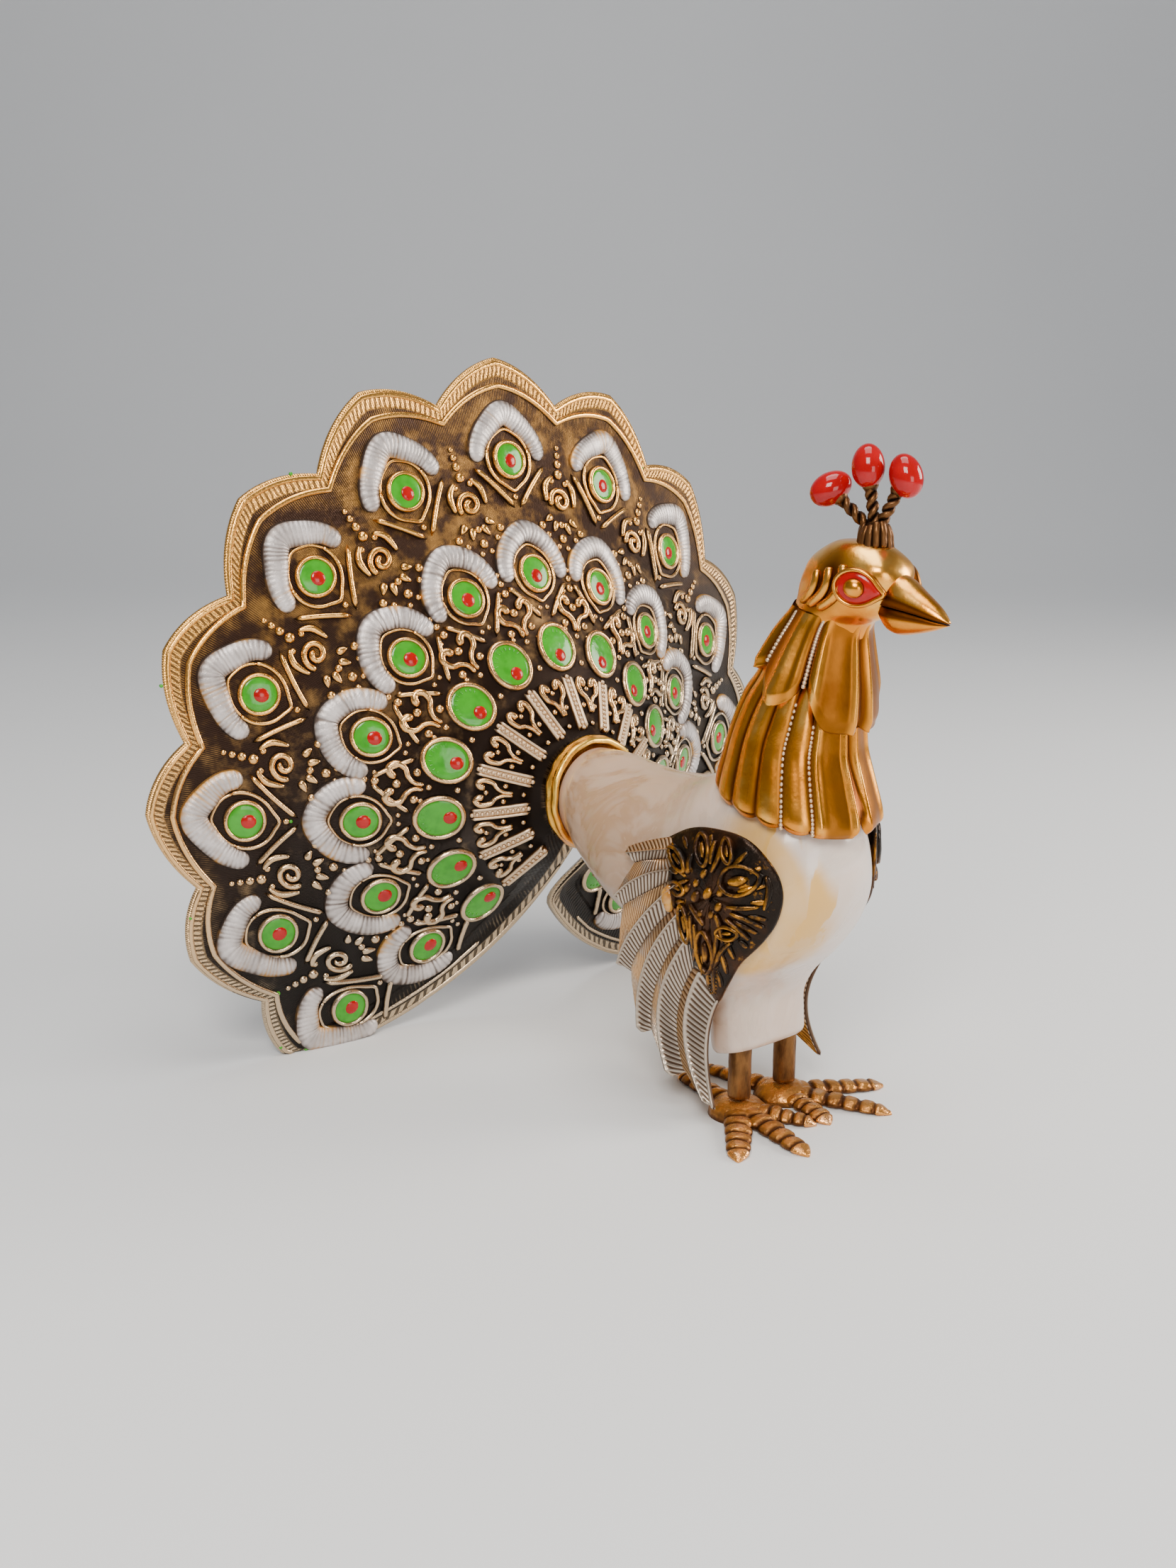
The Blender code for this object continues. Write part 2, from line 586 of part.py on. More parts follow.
def make_foot(name, side, yaw, back_turn, finish):
    """A cast foot with three front toes and one back toe."""
    place = Vector((side * LEG_SPREAD / 2, LEG_Y, 0.0))
    boss = bmesh.new()
    radius = LEG_DIAMETER / 2
    profile = (
        (radius + BOSS_WALL, 0.0),
        (radius + BOSS_WALL * 0.875, FOOT_HEIGHT * 0.7),
        (radius + BOSS_WALL * 0.25, FOOT_HEIGHT),
    )
    turned(boss, profile, 8, Vector((0, 0, 0)), Vector((0, 0, 1)))
    foot = new_object(name, boss, finish)
    shape = bmesh.new()
    for turn, length, root, tip in (*FRONT_TOES, (back_turn, *BACK_TOE)):
        add_toe(shape, side * turn, length * SHARE, root * SHARE, tip * SHARE, FOOT_HEIGHT * TOE_SHARE)
    spread = hidden(name + "_toes", shape)
    spread.parent = foot
    boolean(foot, spread, "UNION", True)
    foot.location = place
    foot.rotation_euler.z = side * yaw
    return foot


def wing_point(y, z, height):
    """A point on the wing's outer side, y and z in shares, at a height over the wing's inner face."""
    forward = max(0.0, WING_WRAP[0] - y)
    low = max(0.0, WING_LEAN[0] - z)
    hug = WING_HUG * max(0.0, 1 - ((z - WING_WAIST[0]) / WING_WAIST[1]) ** 2) ** 2
    x = WING_SIDE - WING_WRAP[1] * forward ** 2 - WING_LEAN[1] * low - hug
    y += hug * WING_HUG_SHIFT[0]
    z += hug * WING_HUG_SHIFT[1]
    return Vector((x, y, z)) * SHARE + Vector((height, 0.0, 0.0))


def rib_point(rib, along):
    """A point of a feather's edge or midrib, from root (0) to tip (1), as (y, z)."""
    root, bend, tip = rib
    back = 1 - along
    return [back * back * root[i] + 2 * along * back * bend[i] + along * along * tip[i] for i in (0, 1)]


def make_wing(name, side, lift, finish):
    """A stamped wing: a domed shoulder and six curved feathers."""
    shoulder = bmesh.new()
    rings = []
    for size, height in SHOULDER_DOME:
        ring = []
        for y, z in SHOULDER_OUTLINE:
            inward = [middle + size * (edge - middle) for middle, edge in zip(SHOULDER_MIDDLE, (y, z))]
            ring.append(wing_point(*inward, height * WING_THICKNESS))
        rings.append(ring)
    loft(shoulder, rings)
    wing = new_object(name, shoulder, finish)

    feathers = bmesh.new()
    steps = 5
    under_shoulder = -0.12
    rings = []
    for number, rib in enumerate(WING_RIBS):
        ridge = MIDRIB_HEIGHT if number % 2 else EDGE_HEIGHT
        line = []
        for step in range(steps + 1):
            along = under_shoulder + (1 - under_shoulder) * step / steps
            line.append(rib_point(rib, along))
        ring = [wing_point(*point, ridge * WING_THICKNESS) for point in line]
        ring += [wing_point(*point, INNER_HEIGHT * WING_THICKNESS) for point in reversed(line)]
        rings.append(ring)
    loft(feathers, rings)
    spread = hidden(name + "_feathers", feathers)
    spread.parent = wing
    boolean(wing, spread, "UNION")
    wing.scale.x = side
    wing.location.z = lift
    return wing


def make_crest(finish):
    """Three wires on one base, leaning apart in a fan."""
    crest = bmesh.new()
    profile = (
        (CREST_RADIUS, 0.0),
        (CREST_RADIUS * 0.95, CREST_HEIGHT * 0.6),
        (CREST_RADIUS * 0.6, CREST_HEIGHT),
    )
    turned(crest, profile, 10, CREST_BASE, Vector((0, 0, 1)))
    base = new_object("crest_stems", crest, finish, CREST_BASE)
    wires = bmesh.new()
    for bead, axis in BEADS:
        start = CREST_BASE + Vector((0, 0, CREST_HEIGHT / 2))
        direction = bead - start
        along = direction.normalized().dot(axis.normalized())
        flat = math.sqrt((along / BEAD_LENGTH) ** 2 + (1 - along ** 2) / BEAD_WIDTH ** 2)
        length = direction.length - 0.5 / flat - 2 * GAP
        turned(wires, ((STEM_RADIUS, 0.0), (STEM_RADIUS, length)), 6, start, direction.normalized())
    boolean(base, hidden("crest_wires", wires), "UNION", True)
    return base


def make_bead(name, centre, axis, finish):
    """An egg-shaped bead."""
    bead = bmesh.new()
    lean = axis.to_track_quat("Z", "Y").to_matrix().to_4x4()
    size = Matrix.Diagonal((BEAD_WIDTH / 2, BEAD_WIDTH / 2, BEAD_LENGTH / 2, 1.0))
    bmesh.ops.create_uvsphere(
        bead, u_segments=10, v_segments=6, radius=1.0, matrix=Matrix.Translation(centre) @ lean @ size)
    return new_object(name, bead, finish, centre)


def main():
    for old in list(bpy.data.objects):
        bpy.data.objects.remove(old)
    bronze = material("antiqued_bronze", (0.42, 0.31, 0.16), 0.38, 0.9)
    gilt = material("gilt", (0.83, 0.55, 0.15), 0.25, 1.0)
    pearl = material("mother_of_pearl", (0.86, 0.77, 0.68), 0.3, 0.0)
    brass = material("polished_brass", (0.78, 0.47, 0.12), 0.3, 1.0)
    silver = material("antiqued_silver", (0.6, 0.52, 0.42), 0.4, 0.9)
    dark = material("dark_brass", (0.28, 0.17, 0.08), 0.5, 0.9)
    cast = material("cast_brass", (0.5, 0.29, 0.12), 0.45, 0.9)
    red = material("red_bead", (0.75, 0.02, 0.02), 0.15, 0.0)

    make_tail(bronze)
    make_collar(gilt)
    make_shell(pearl)
    make_neck(brass)
    make_crest(dark)
    for name, (centre, axis) in zip(("left", "middle", "right"), BEADS):
        make_bead("crest_bead_" + name, centre, axis, red)
    make_leg("right_leg", -1, dark)
    make_leg("left_leg", 1, dark)
    make_foot("right_foot", -1, math.radians(10), math.radians(180), cast)
    make_foot("left_foot", 1, math.radians(26), math.radians(163), cast)
    make_wing("right_wing", -1, WING_LIFTS[0] * SHARE, silver)
    make_wing("left_wing", 1, WING_LIFTS[1] * SHARE, silver)


main()
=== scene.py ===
"""The looks of a brass and mother-of-pearl peacock figurine with a spread, enamelled tail.

Places are in metres, and the sizes of relief are in millimetres. The tail, shell, neck and wings follow the
same forms as the solids. A place on the tail is given by its ray, the angle from straight up, and its reach
along it. Each piece is laid out as grids on a form, and a mark tells its finish what is raised: finishes
paint raised tops bright, partly as wear and partly as painted highlight, and flanks and hollows dark, partly
as patina and partly as painted shade.
"""

import math

import bmesh
import bpy
from mathutils import Matrix, Vector, noise


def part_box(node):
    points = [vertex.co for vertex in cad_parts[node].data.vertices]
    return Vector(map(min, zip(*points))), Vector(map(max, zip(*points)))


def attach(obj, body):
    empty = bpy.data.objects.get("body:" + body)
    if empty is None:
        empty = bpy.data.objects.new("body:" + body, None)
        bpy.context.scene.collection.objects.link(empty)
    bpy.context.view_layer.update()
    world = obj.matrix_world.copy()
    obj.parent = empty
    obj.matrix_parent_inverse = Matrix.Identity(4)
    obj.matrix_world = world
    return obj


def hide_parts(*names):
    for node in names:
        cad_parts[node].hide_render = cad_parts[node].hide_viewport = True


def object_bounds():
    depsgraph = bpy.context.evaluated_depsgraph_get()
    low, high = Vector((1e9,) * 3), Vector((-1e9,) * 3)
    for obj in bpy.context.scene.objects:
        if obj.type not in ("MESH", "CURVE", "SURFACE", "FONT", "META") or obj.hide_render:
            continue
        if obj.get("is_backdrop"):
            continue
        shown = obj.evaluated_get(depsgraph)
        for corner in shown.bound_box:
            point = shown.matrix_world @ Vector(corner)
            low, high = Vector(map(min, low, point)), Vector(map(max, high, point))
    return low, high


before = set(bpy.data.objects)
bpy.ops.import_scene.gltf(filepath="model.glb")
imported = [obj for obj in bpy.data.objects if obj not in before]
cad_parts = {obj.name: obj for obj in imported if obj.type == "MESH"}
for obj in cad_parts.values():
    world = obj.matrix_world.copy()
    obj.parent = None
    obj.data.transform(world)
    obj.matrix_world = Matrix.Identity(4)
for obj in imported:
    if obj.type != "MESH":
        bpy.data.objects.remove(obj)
cad_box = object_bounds()

MM = 0.001
TAU = 2 * math.pi

# Tail
LOBES = 13
LOBE_STEP = math.radians(19.84)
FAN_RADIUS = 52.0 * MM
TIP_REACH = 1.258
NOTCH_REACH = 1.155
OUTER_EYE_REACH = 0.986
MIDDLE_EYE_REACH = 0.670
INNER_EYE_REACH = 0.456
EDGE_ANGLE = math.radians(121.0)
EDGE_TAPER = math.radians(26.3)
EDGE_END_REACH = 0.20
FAN_CENTRE = Vector((0.0, 20.09, 29.25)) * MM
FAN_TILT = -0.1197
FAN_SPREAD = 0.0079
FAN_WIDENING = (0.2587, -0.0294, 0.0245)
FAN_LIFT = (0.1581, 1.3)
FAN_BOWL = (0.4881, -0.013, -0.0853, 0.1385)
FAN_CURL = 0.0799
LOW_START = math.radians(72)
LOW_RANGE = math.radians(47)
LOW_SWEEP = 7.5 * MM
LOW_DIRECTION = Vector((0.637, 0.736, -0.23))
GROUND_EASE = 0.6 * MM
SHEET_THICKNESS = 1.2 * MM
MM_PER_REACH = 58.0
FIELD_REACH = 0.885
BAR_REACHES = (0.372, 0.205)

# Collar
COLLAR_RADIUS = 10.0 * MM
COLLAR_LENGTH = 2.8 * MM
COLLAR_CENTRE = Vector((0.0, 19.9, 43.0)) * MM
COLLAR_TILT = math.radians(2.7)
COLLAR_AXIS = Vector((0.0, -math.cos(COLLAR_TILT), math.sin(COLLAR_TILT)))
COLLAR_BACK_SLOPE = 0.62
HOLE_RADIUS = COLLAR_RADIUS - 1.4 * MM

# Cross-sections: first point (y, z) and last point (y, z) in the mirror plane, half width and squareness
SHELL_SECTIONS = (
    (20.4, 34.2, 20.8, 50.9, 8.3, 2.0),
    (19.0, 33.6, 19.2, 51.0, 8.8, 2.0),
    (15.0, 30.6, 14.6, 51.0, 10.2, 2.0),
    (9.0, 26.8, 8.0, 50.2, 11.6, 2.0),
    (3.0, 24.0, 1.0, 50.2, 12.3, 2.0),
    (-2.0, 22.2, -7.0, 51.4, 12.6, 2.0),
    (-5.4, 21.2, -16.0, 55.0, 12.6, 2.1),
    (-7.6, 20.2, -25.5, 55.6, 12.8, 2.2),
    (-9.4, 19.2, -33.2, 50.0, 12.9, 2.2),
    (-10.6, 18.2, -36.0, 41.6, 12.6, 2.1),
    (-11.4, 17.2, -34.4, 34.6, 11.8, 2.1),
    (-12.2, 16.0, -30.4, 28.4, 10.4, 2.1),
    (-12.8, 15.2, -26.0, 23.6, 9.0, 2.2),
    (-13.2, 13.0, -23.7, 19.6, 8.4, 2.4),
    (-13.5, 11.2, -23.6, 15.8, 8.2, 2.6),
    (-14.2, 9.6, -23.6, 12.8, 8.1, 2.8),
    (-15.2, 9.1, -23.0, 11.6, 7.8, 2.8),
)
CAPE_SECTIONS = (
    (-38.2, 47.2, -12.2, 52.2, 12.0),
    (-37.9, 49.9, -12.6, 54.7, 11.9),
    (-36.6, 53.8, -13.6, 58.2, 11.2),
    (-35.2, 58.0, -15.0, 63.0, 10.2),
    (-34.8, 61.0, -17.2, 68.0, 9.4),
    (-34.6, 66.0, -19.4, 71.0, 8.2),
    (-34.8, 71.0, -21.4, 75.5, 6.4),
)
NECK_SECTIONS = (
    (-36.3, 60.6, -16.6, 66.6, 10.4),
    (-36.4, 64.0, -18.2, 70.5, 9.7),
    (-36.3, 68.5, -20.0, 73.5, 8.4),
    (-35.8, 73.0, -22.0, 76.5, 7.0),
    (-35.6, 76.5, -24.0, 79.0, 6.0),
    (-36.4, 78.6, -25.0, 80.6, 5.6),
)
HEAD_SECTIONS = (
    (-35.6, 75.6, -24.8, 78.4, 5.4),
    (-36.6, 78.0, -25.0, 80.0, 5.7),
    (-39.5, 79.3, -25.3, 81.8, 5.9),
    (-41.8, 81.3, -25.6, 83.3, 6.3),
    (-42.9, 83.6, -26.2, 85.0, 6.3),
    (-42.8, 85.8, -27.3, 87.0, 5.7),
    (-41.2, 87.9, -29.4, 88.6, 4.4),
    (-39.4, 89.2, -31.6, 89.6, 2.9),
    (-37.4, 89.7, -34.0, 89.8, 1.2),
)

# Wing, seen from the side (y, z)
SHOULDER_OUTLINE = (
    (-12.1, 44.6), (-16.4, 46.8), (-21.2, 47.7), (-27.4, 47.4), (-30.7, 44.1), (-32.0, 40.0),
    (-31.6, 35.6), (-29.9, 31.9), (-26.9, 28.1), (-24.6, 23.9), (-22.8, 20.8), (-20.4, 22.4),
    (-17.5, 25.2), (-15.0, 30.0), (-13.2, 34.5), (-12.2, 39.5), (-12.1, 44.6),
)
SHOULDER_MIDDLE = (-22.8, 38.0)
WING_RIBS = (
    ((-12.1, 44.5), (-7.1, 43.1), (-2.7, 41.0)),
    ((-12.1, 42.8), (-7.9, 41.7), (-2.5, 40.1)),
    ((-12.2, 41.2), (-7.4, 40.0), (-4.2, 38.7)),
    ((-12.5, 39.6), (-5.3, 37.8), (-0.1, 32.1)),
    ((-12.7, 37.9), (-6.0, 34.1), (-1.4, 30.9)),
    ((-12.5, 36.1), (-2.8, 27.8), (-1.2, 20.8)),
    ((-13.8, 34.0), (-4.9, 26.2), (-3.7, 20.4)),
    ((-14.0, 32.3), (-4.6, 22.4), (-6.4, 10.8)),
    ((-15.0, 29.7), (-8.0, 21.1), (-8.5, 11.8)),
    ((-15.8, 28.3), (-7.4, 16.4), (-13.4, 5.7)),
    ((-17.5, 24.8), (-12.1, 15.8), (-16.1, 7.3)),
    ((-18.7, 23.2), (-13.9, 12.6), (-21.7, 3.8)),
    ((-23.2, 21.6), (-19.1, 13.6), (-22.5, 3.4)),
)
LEFT_WING_LIFT = 2.4 * MM
WING_SIDE = 13.25
WING_WRAP = (-26.0, 0.09)
WING_LEAN = (38.0, 0.02)
WING_HUG = 2.05
WING_WAIST = (13.0, 17.0)
WING_HUG_SHIFT = (1.16, -0.36)

# The bird's eye on the head's form
EYE_ANGLE = math.radians(59.5)
EYE_HEIGHT = 0.49

# Node and colour slot of the pieces that share one
TAIL = ("tail_fan", "antiqued_bronze")
NECK = ("neck_and_head", "polished_brass")


# Forms


def between(rows, t):
    """The row at t, from 0 to 1, on a smooth curve through rows of numbers."""
    place = min(max(t, 0.0), 1.0) * (len(rows) - 1)
    index = min(int(place), len(rows) - 2)
    f = place - index
    before, start, end, after = (
        rows[max(index - 1, 0)], rows[index], rows[index + 1], rows[min(index + 2, len(rows) - 1)]
    )
    return [
        0.5 * (2 * s + (e - b) * f + (2 * b - 5 * s + 4 * e - a) * f * f + (3 * s - b - 3 * e + a) * f ** 3)
        for b, s, e, a in zip(before, start, end, after)
    ]


def smooth(points, steps):
    """Points on a smooth curve through a few points."""
    return [tuple(between(points, step / steps)) for step in range(steps + 1)]


def hill(x, middle, width):
    """A rounded bump of height 1."""
    return math.exp(-((x - middle) / width) ** 2)


def ease(x):
    """Rises smoothly from 0 to 1 as x does."""
    x = min(max(x, 0.0), 1.0)
    return x * x * (3 - 2 * x)


def belly(ends, more):
    """A tapering that is widest halfway."""
    return lambda t: ends + more * math.sin(math.pi * t)


def new_form():
    """An empty mesh with the mark that every finish reads."""
    mesh = bmesh.new()
    mesh.verts.layers.float.new("worn")
    return mesh


def surface(mesh, across, along, place, **marks):
    """Lays a grid over place(u, v), u and v from 0 to 1, with marks, and closes its seams and poles."""
    layers = mesh.verts.layers.float
    for name in marks:
        if name not in layers:
            layers.new(name)
    verts = bmesh.ops.create_grid(mesh, x_segments=across, y_segments=along, size=0.5)["verts"]
    for vert in verts:
        u, v = vert.co.x + 0.5, vert.co.y + 0.5
        for name, mark in marks.items():
            vert[layers[name]] = mark(u, v)
        vert.co = place(u, v)
    bmesh.ops.remove_doubles(mesh, verts=verts, dist=0.000001)


def piece(name, mesh, finish, node, slot):
    """Makes a finished piece that stands for a node."""
    for vert in mesh.verts:
        vert.co.z = max(vert.co.z, 0.0)
    bmesh.ops.recalc_face_normals(mesh, faces=mesh.faces)
    data = bpy.data.meshes.new(name)
    mesh.to_mesh(data)
    mesh.free()
    data.shade_smooth()
    data.materials.append(finish)
    made = bpy.data.objects.new(name, data)
    bpy.context.collection.objects.link(made)
    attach(made, "root")
    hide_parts(node)


def turned(mesh, profile, sides, centre, axis, stretch=(1.0, 1.0), aside=None):
    """Turns (radius, height, wear and shade mark) points, in millimetres, round an axis."""
    axis = axis.normalized()
    if aside is None:
        aside = axis.orthogonal()
    aside = (aside - axis * aside.dot(axis)).normalized()
    forward = axis.cross(aside)

    def place(u, v):
        radius, height, _ = profile[round(u * (len(profile) - 1))]
        angle = TAU * v
        out = aside * (stretch[0] * math.cos(angle)) + forward * (stretch[1] * math.sin(angle))
        return centre + (axis * height + out * radius) * MM

    surface(mesh, len(profile) - 1, sides, place, worn=lambda u, v: profile[round(u * (len(profile) - 1))][2])


def dome(radius, base, top, steps=6, sunk=0.3):
    """The profile of a low dome with a rounded edge, closed below, in millimetres."""
    profile = [(0.0, -sunk, 0.0), (radius, -sunk, 0.0)]
    for step in range(steps + 1):
        angle = math.pi / 2 * step / steps
        rise = math.sin(angle)
        profile.append((radius * math.cos(angle), base + (top - base) * rise, rise ** 0.5))
    return profile


def ridge(mesh, line, width, height, sides=6, sunk=0.3, closed=False, ripple=None, tapering=None):
    """A rounded line in relief, its sizes in millimetres.

    line holds (point, front) pairs, the places on a surface and the directions it faces. ripple is the pitch,
    depth and slant of cross grooves along the line. tapering(t) scales the width from end to end.
    """
    last = len(line) - 1
    runs = [0.0]
    for (start, _), (end, _) in zip(line, line[1:]):
        runs.append(runs[-1] + (end - start).length / MM)
    rails = []
    for step, (point, front) in enumerate(line):
        if closed:
            ahead = line[(step + 1) % last][0] - line[(step - 1) % last][0]
        else:
            ahead = line[min(step + 1, last)][0] - line[max(step - 1, 0)][0]
        aside = front.cross(ahead).normalized()
        wide = width * (tapering(step / last) if tapering else 1.0)
        full = 1.0
        if not closed:
            full = min(min(runs[step], runs[-1] - runs[step]) / (wide / 2), 1.0)
        rails.append((point, aside * (wide / 2 * MM), front * MM, math.sqrt(full * (2 - full))))

    def swell(step, angle):
        if not ripple:
            return 0.0
        pitch, depth, slant = ripple
        wander = 5.0 * noise.noise(line[step][0] * 380.0)
        uneven = 0.45 + 1.2 * abs(noise.noise(line[step][0] * 620.0))
        wave = math.sin(TAU * runs[step] / pitch + slant * math.cos(angle) + wander)
        return depth * uneven * (wave - 1) / 2

    def place(u, v):
        step = round(u * last)
        point, aside, front, size = rails[step]
        angle = TAU * v
        rise = math.sin(angle)
        lift = rise * size * ((1 + swell(step, angle)) * height if rise > 0 else sunk)
        return point + aside * (size * math.cos(angle)) + front * lift

    # The mark is 1 on the crest and falls towards the flanks and into the cross grooves: finishes paint the
    # crest bright as wear and highlight, and the flanks and grooves dark as painted shade.
    def worn(u, v):
        angle = TAU * v
        step = round(u * last)
        return max(0.0, math.sin(angle)) ** 0.6 * (1 + 3.0 * swell(step, angle))

    surface(mesh, last, sides, place, worn=worn)


# The tail's form


def fan_point(reach, ray):
    """A point of the tail's middle surface."""
    spread = ray + FAN_SPREAD * ray ** 3
    radius = reach * (1 + sum(part * math.cos((turn + 1) * spread) for turn, part in enumerate(FAN_WIDENING)))
    across = radius * math.sin(spread)
    upward = radius * math.cos(spread) + FAN_LIFT[0] * (FAN_LIFT[1] - reach) ** 2
    lean, by_radius, by_square, by_height = FAN_BOWL
    back = radius * (lean + by_radius * radius + by_square * radius ** 2 + by_height * upward)
    back += FAN_CURL * across ** 2
    point = FAN_CENTRE + FAN_RADIUS * Vector((
        across,
        upward * math.sin(FAN_TILT) + back * math.cos(FAN_TILT),
        upward * math.cos(FAN_TILT) - back * math.sin(FAN_TILT),
    ))
    low = min(max(0.0, (abs(ray) - LOW_START) / LOW_RANGE), 1.25) ** 1.6
    sweep = LOW_SWEEP * low * ease((reach - 0.15) / 0.31) * (1.25 - 0.72 * reach) * LOW_DIRECTION
    sweep.x = -math.copysign(sweep.x, ray)
    point += sweep
    point.z = 0.5 * (point.z + math.sqrt(point.z ** 2 + GROUND_EASE ** 2))
    return point


def fan_front(reach, ray):
    """The direction that the tail's front faces."""
    step = 0.004
    by_reach = fan_point(reach + step, ray) - fan_point(reach - step, ray)
    by_ray = fan_point(reach, ray + step) - fan_point(reach, ray - step)
    return by_ray.cross(by_reach).normalized()


def on_tail(reach, ray, lift=0.0):
    """A place on the tail's front, raised by a lift in millimetres, with the direction it faces."""
    front = fan_front(reach, ray)
    return fan_point(reach, ray) + front * (SHEET_THICKNESS / 2 + lift * MM), front


def hole_reach(ray):
    """The reach at which a ray meets the round hole in the middle of the tail."""
    low, high = 0.02, 0.4
    for _ in range(20):
        reach = (low + high) / 2
        point = fan_point(reach, ray)
        if math.hypot(point.x - COLLAR_CENTRE.x, point.z - COLLAR_CENTRE.z) < HOLE_RADIUS:
            low = reach
        else:
            high = reach
    return high


def lobe_rise(ray):
    """How far a ray is from a notch: 1 at a lobe's tip and 0 in a notch."""
    across = abs(ray) / LOBE_STEP
    off_tip = 2 * abs(across - round(across))
    return 0.62 * (1 - off_tip ** 2) + 0.38 * (1 - off_tip)


def edge_ray(reach):
    """The ray of the straight lower edge."""
    return EDGE_ANGLE + (TIP_REACH - reach) * EDGE_TAPER


def outline_reach(ray):
    """The scalloped outline: pointed lobes, and a straight lower edge beyond the lowest tips."""
    if abs(ray) / LOBE_STEP <= LOBES // 2:
        return NOTCH_REACH + (TIP_REACH - NOTCH_REACH) * lobe_rise(ray)
    return TIP_REACH - max(0.0, (abs(ray) - EDGE_ANGLE) / EDGE_TAPER)


def beside(ray, reach, x, y):
    """The (reach, ray) of a spot x across and y outward, in millimetres, from another spot."""
    along = 0.01
    centre = fan_point(reach, ray)
    per_ray = (fan_point(reach, ray + along) - centre).length / along / MM
    per_reach = (fan_point(reach + along, ray) - centre).length / along / MM
    return reach + y / per_reach, ray + x / per_ray


def tail_line(ray, reach, points, steps=None, lift=0.0):
    """The line through points (x, y) round a spot of the tail, smoothed where steps are given."""
    if steps:
        points = smooth(points, steps)
    return [on_tail(*beside(ray, reach, x, y), lift) for x, y in points]


def straight(start, end, steps=8):
    """Points along a straight line."""
    return [tuple(a + (b - a) * step / steps for a, b in zip(start, end)) for step in range(steps + 1)]


def arc(across, outward, start, end, steps):
    """Points round an oval, angles in degrees from straight outward."""
    angles = [math.radians(start + (end - start) * step / steps) for step in range(steps + 1)]
    return [(across * math.sin(a), outward * math.cos(a)) for a in angles]


def lobe_rays():
    """The rays of the lobes' middles."""
    return [(lobe - LOBES // 2) * LOBE_STEP for lobe in range(LOBES)]


def notch_rays():
    """The rays of the notches between the lobes."""
    return [ray + LOBE_STEP / 2 for ray in lobe_rays()[:-1]]


def make_tail_sheet(finish):
    """The stamped sheet: front, rolled edge and back in one closed skin."""
    mesh = new_form()
    end_ray = edge_ray(EDGE_END_REACH)
    front_rows, rim_rows, back_rows = 54, 4, 12
    rows = front_rows + rim_rows + back_rows

    def spot(u, v):
        ray = (2 * u - 1) * end_ray
        row = round(v * rows)
        inner, outer = hole_reach(ray), outline_reach(ray)
        flat = outer - 0.006
        thick = min(1.0, 40 * u, 40 * (1 - u))
        if row <= front_rows:
            f = row / front_rows
            lift = min(1.0, 8 * f)
            reach = inner + (flat - inner) * f
        elif row <= front_rows + rim_rows:
            angle = math.pi * (row - front_rows) / rim_rows
            lift = math.cos(angle)
            reach = flat + 0.006 * math.sin(angle)
        else:
            f = 1 - (row - front_rows - rim_rows) / back_rows
            lift = -min(1.0, 8 * f)
            reach = inner + (flat - inner) * f
        return reach, ray, lift * thick

    def place(u, v):
        reach, ray, lift = spot(u, v)
        point = fan_point(reach, ray) + fan_front(reach, ray) * (lift * SHEET_THICKNESS / 2)
        point.z = max(point.z, 0.0)
        return point

    def edge(u, v):
        reach, ray, _ = spot(u, v)
        to_rim = (outline_reach(ray) - reach) * MM_PER_REACH
        to_side = (edge_ray(reach) - abs(ray)) * reach * MM_PER_REACH
        return min(to_rim, to_side) if abs(ray) < EDGE_ANGLE else to_side

    def dash(u, v):
        reach, ray, _ = spot(u, v)
        to_side = (edge_ray(reach) - abs(ray)) * reach * MM_PER_REACH
        if to_side < 7 and reach < 1.08:
            return reach * MM_PER_REACH / 1.9 + 0.35 * to_side
        return ray / LOBE_STEP * 30

    def front(u, v):
        return 1.0 if v * rows <= front_rows + rim_rows else 0.0

    # On the sheet this mark only tells the front (1) from the back (0), whose colours differ.
    surface(mesh, 360, rows, place, worn=front, edge=edge, dash=dash)
    piece("tail_sheet", mesh, finish, *TAIL)


# Reach, half of the points from the foot to the tip, steps, width, height, ripple and tapering
ROPES = (
    (OUTER_EYE_REACH, ((6.8, 0.2), (5.8, 3.2), (3.3, 6.0), (0.0, 8.2)), 200, 4.6, 1.0, (0.72, 0.10, 1.5),
     lambda t: 0.74 + 0.29 * math.sin(math.pi * t) ** 2),
    (MIDDLE_EYE_REACH, ((5.9, -0.8), (5.3, 2.7), (3.3, 5.8), (0.0, 7.7)), 160, 4.2, 1.05, (0.85, 0.12, 1.7),
     belly(0.76, 0.26)),
)


def make_tail_ropes(finish):
    """The painted ropes round the outer and middle eyes."""
    mesh = new_form()
    for ray in lobe_rays():
        for reach, half, steps, width, height, ripple, tapering in ROPES:
            points = [(-x, y) for x, y in half[:-1]] + list(reversed(half))
            line = tail_line(ray, reach, points, steps)
            ridge(mesh, line, width, height, 12, ripple=ripple, tapering=tapering)
    piece("tail_ropes", mesh, finish, *TAIL)


# One of a pair of curls, and by reach: stretch and thickness, and the balls round them
CURL = ((0.5, -3.6), (0.55, -1.9), (1.5, -0.7), (2.9, 0.1), (3.3, 1.7), (2.4, 2.7), (1.4, 2.1), (1.7, 1.2))
CURL_SIZES = ((0.560, 0.95, 1.35), (0.315, 0.56, 1.05))
CURL_BALLS = (
    (0.560, ((0.0, 4.6, 0.8), (0.0, 6.4, 0.65), (-1.3, 3.9, 0.5), (1.2, 4.9, 0.45), (0.0, 8.0, 0.5),
             (0.0, -4.4, 0.6), (-2.6, -3.2, 0.5), (2.9, -4.2, 0.5))),
    (0.315, ((0.0, 5.8, 0.6), (0.0, -5.4, 0.45))),
)


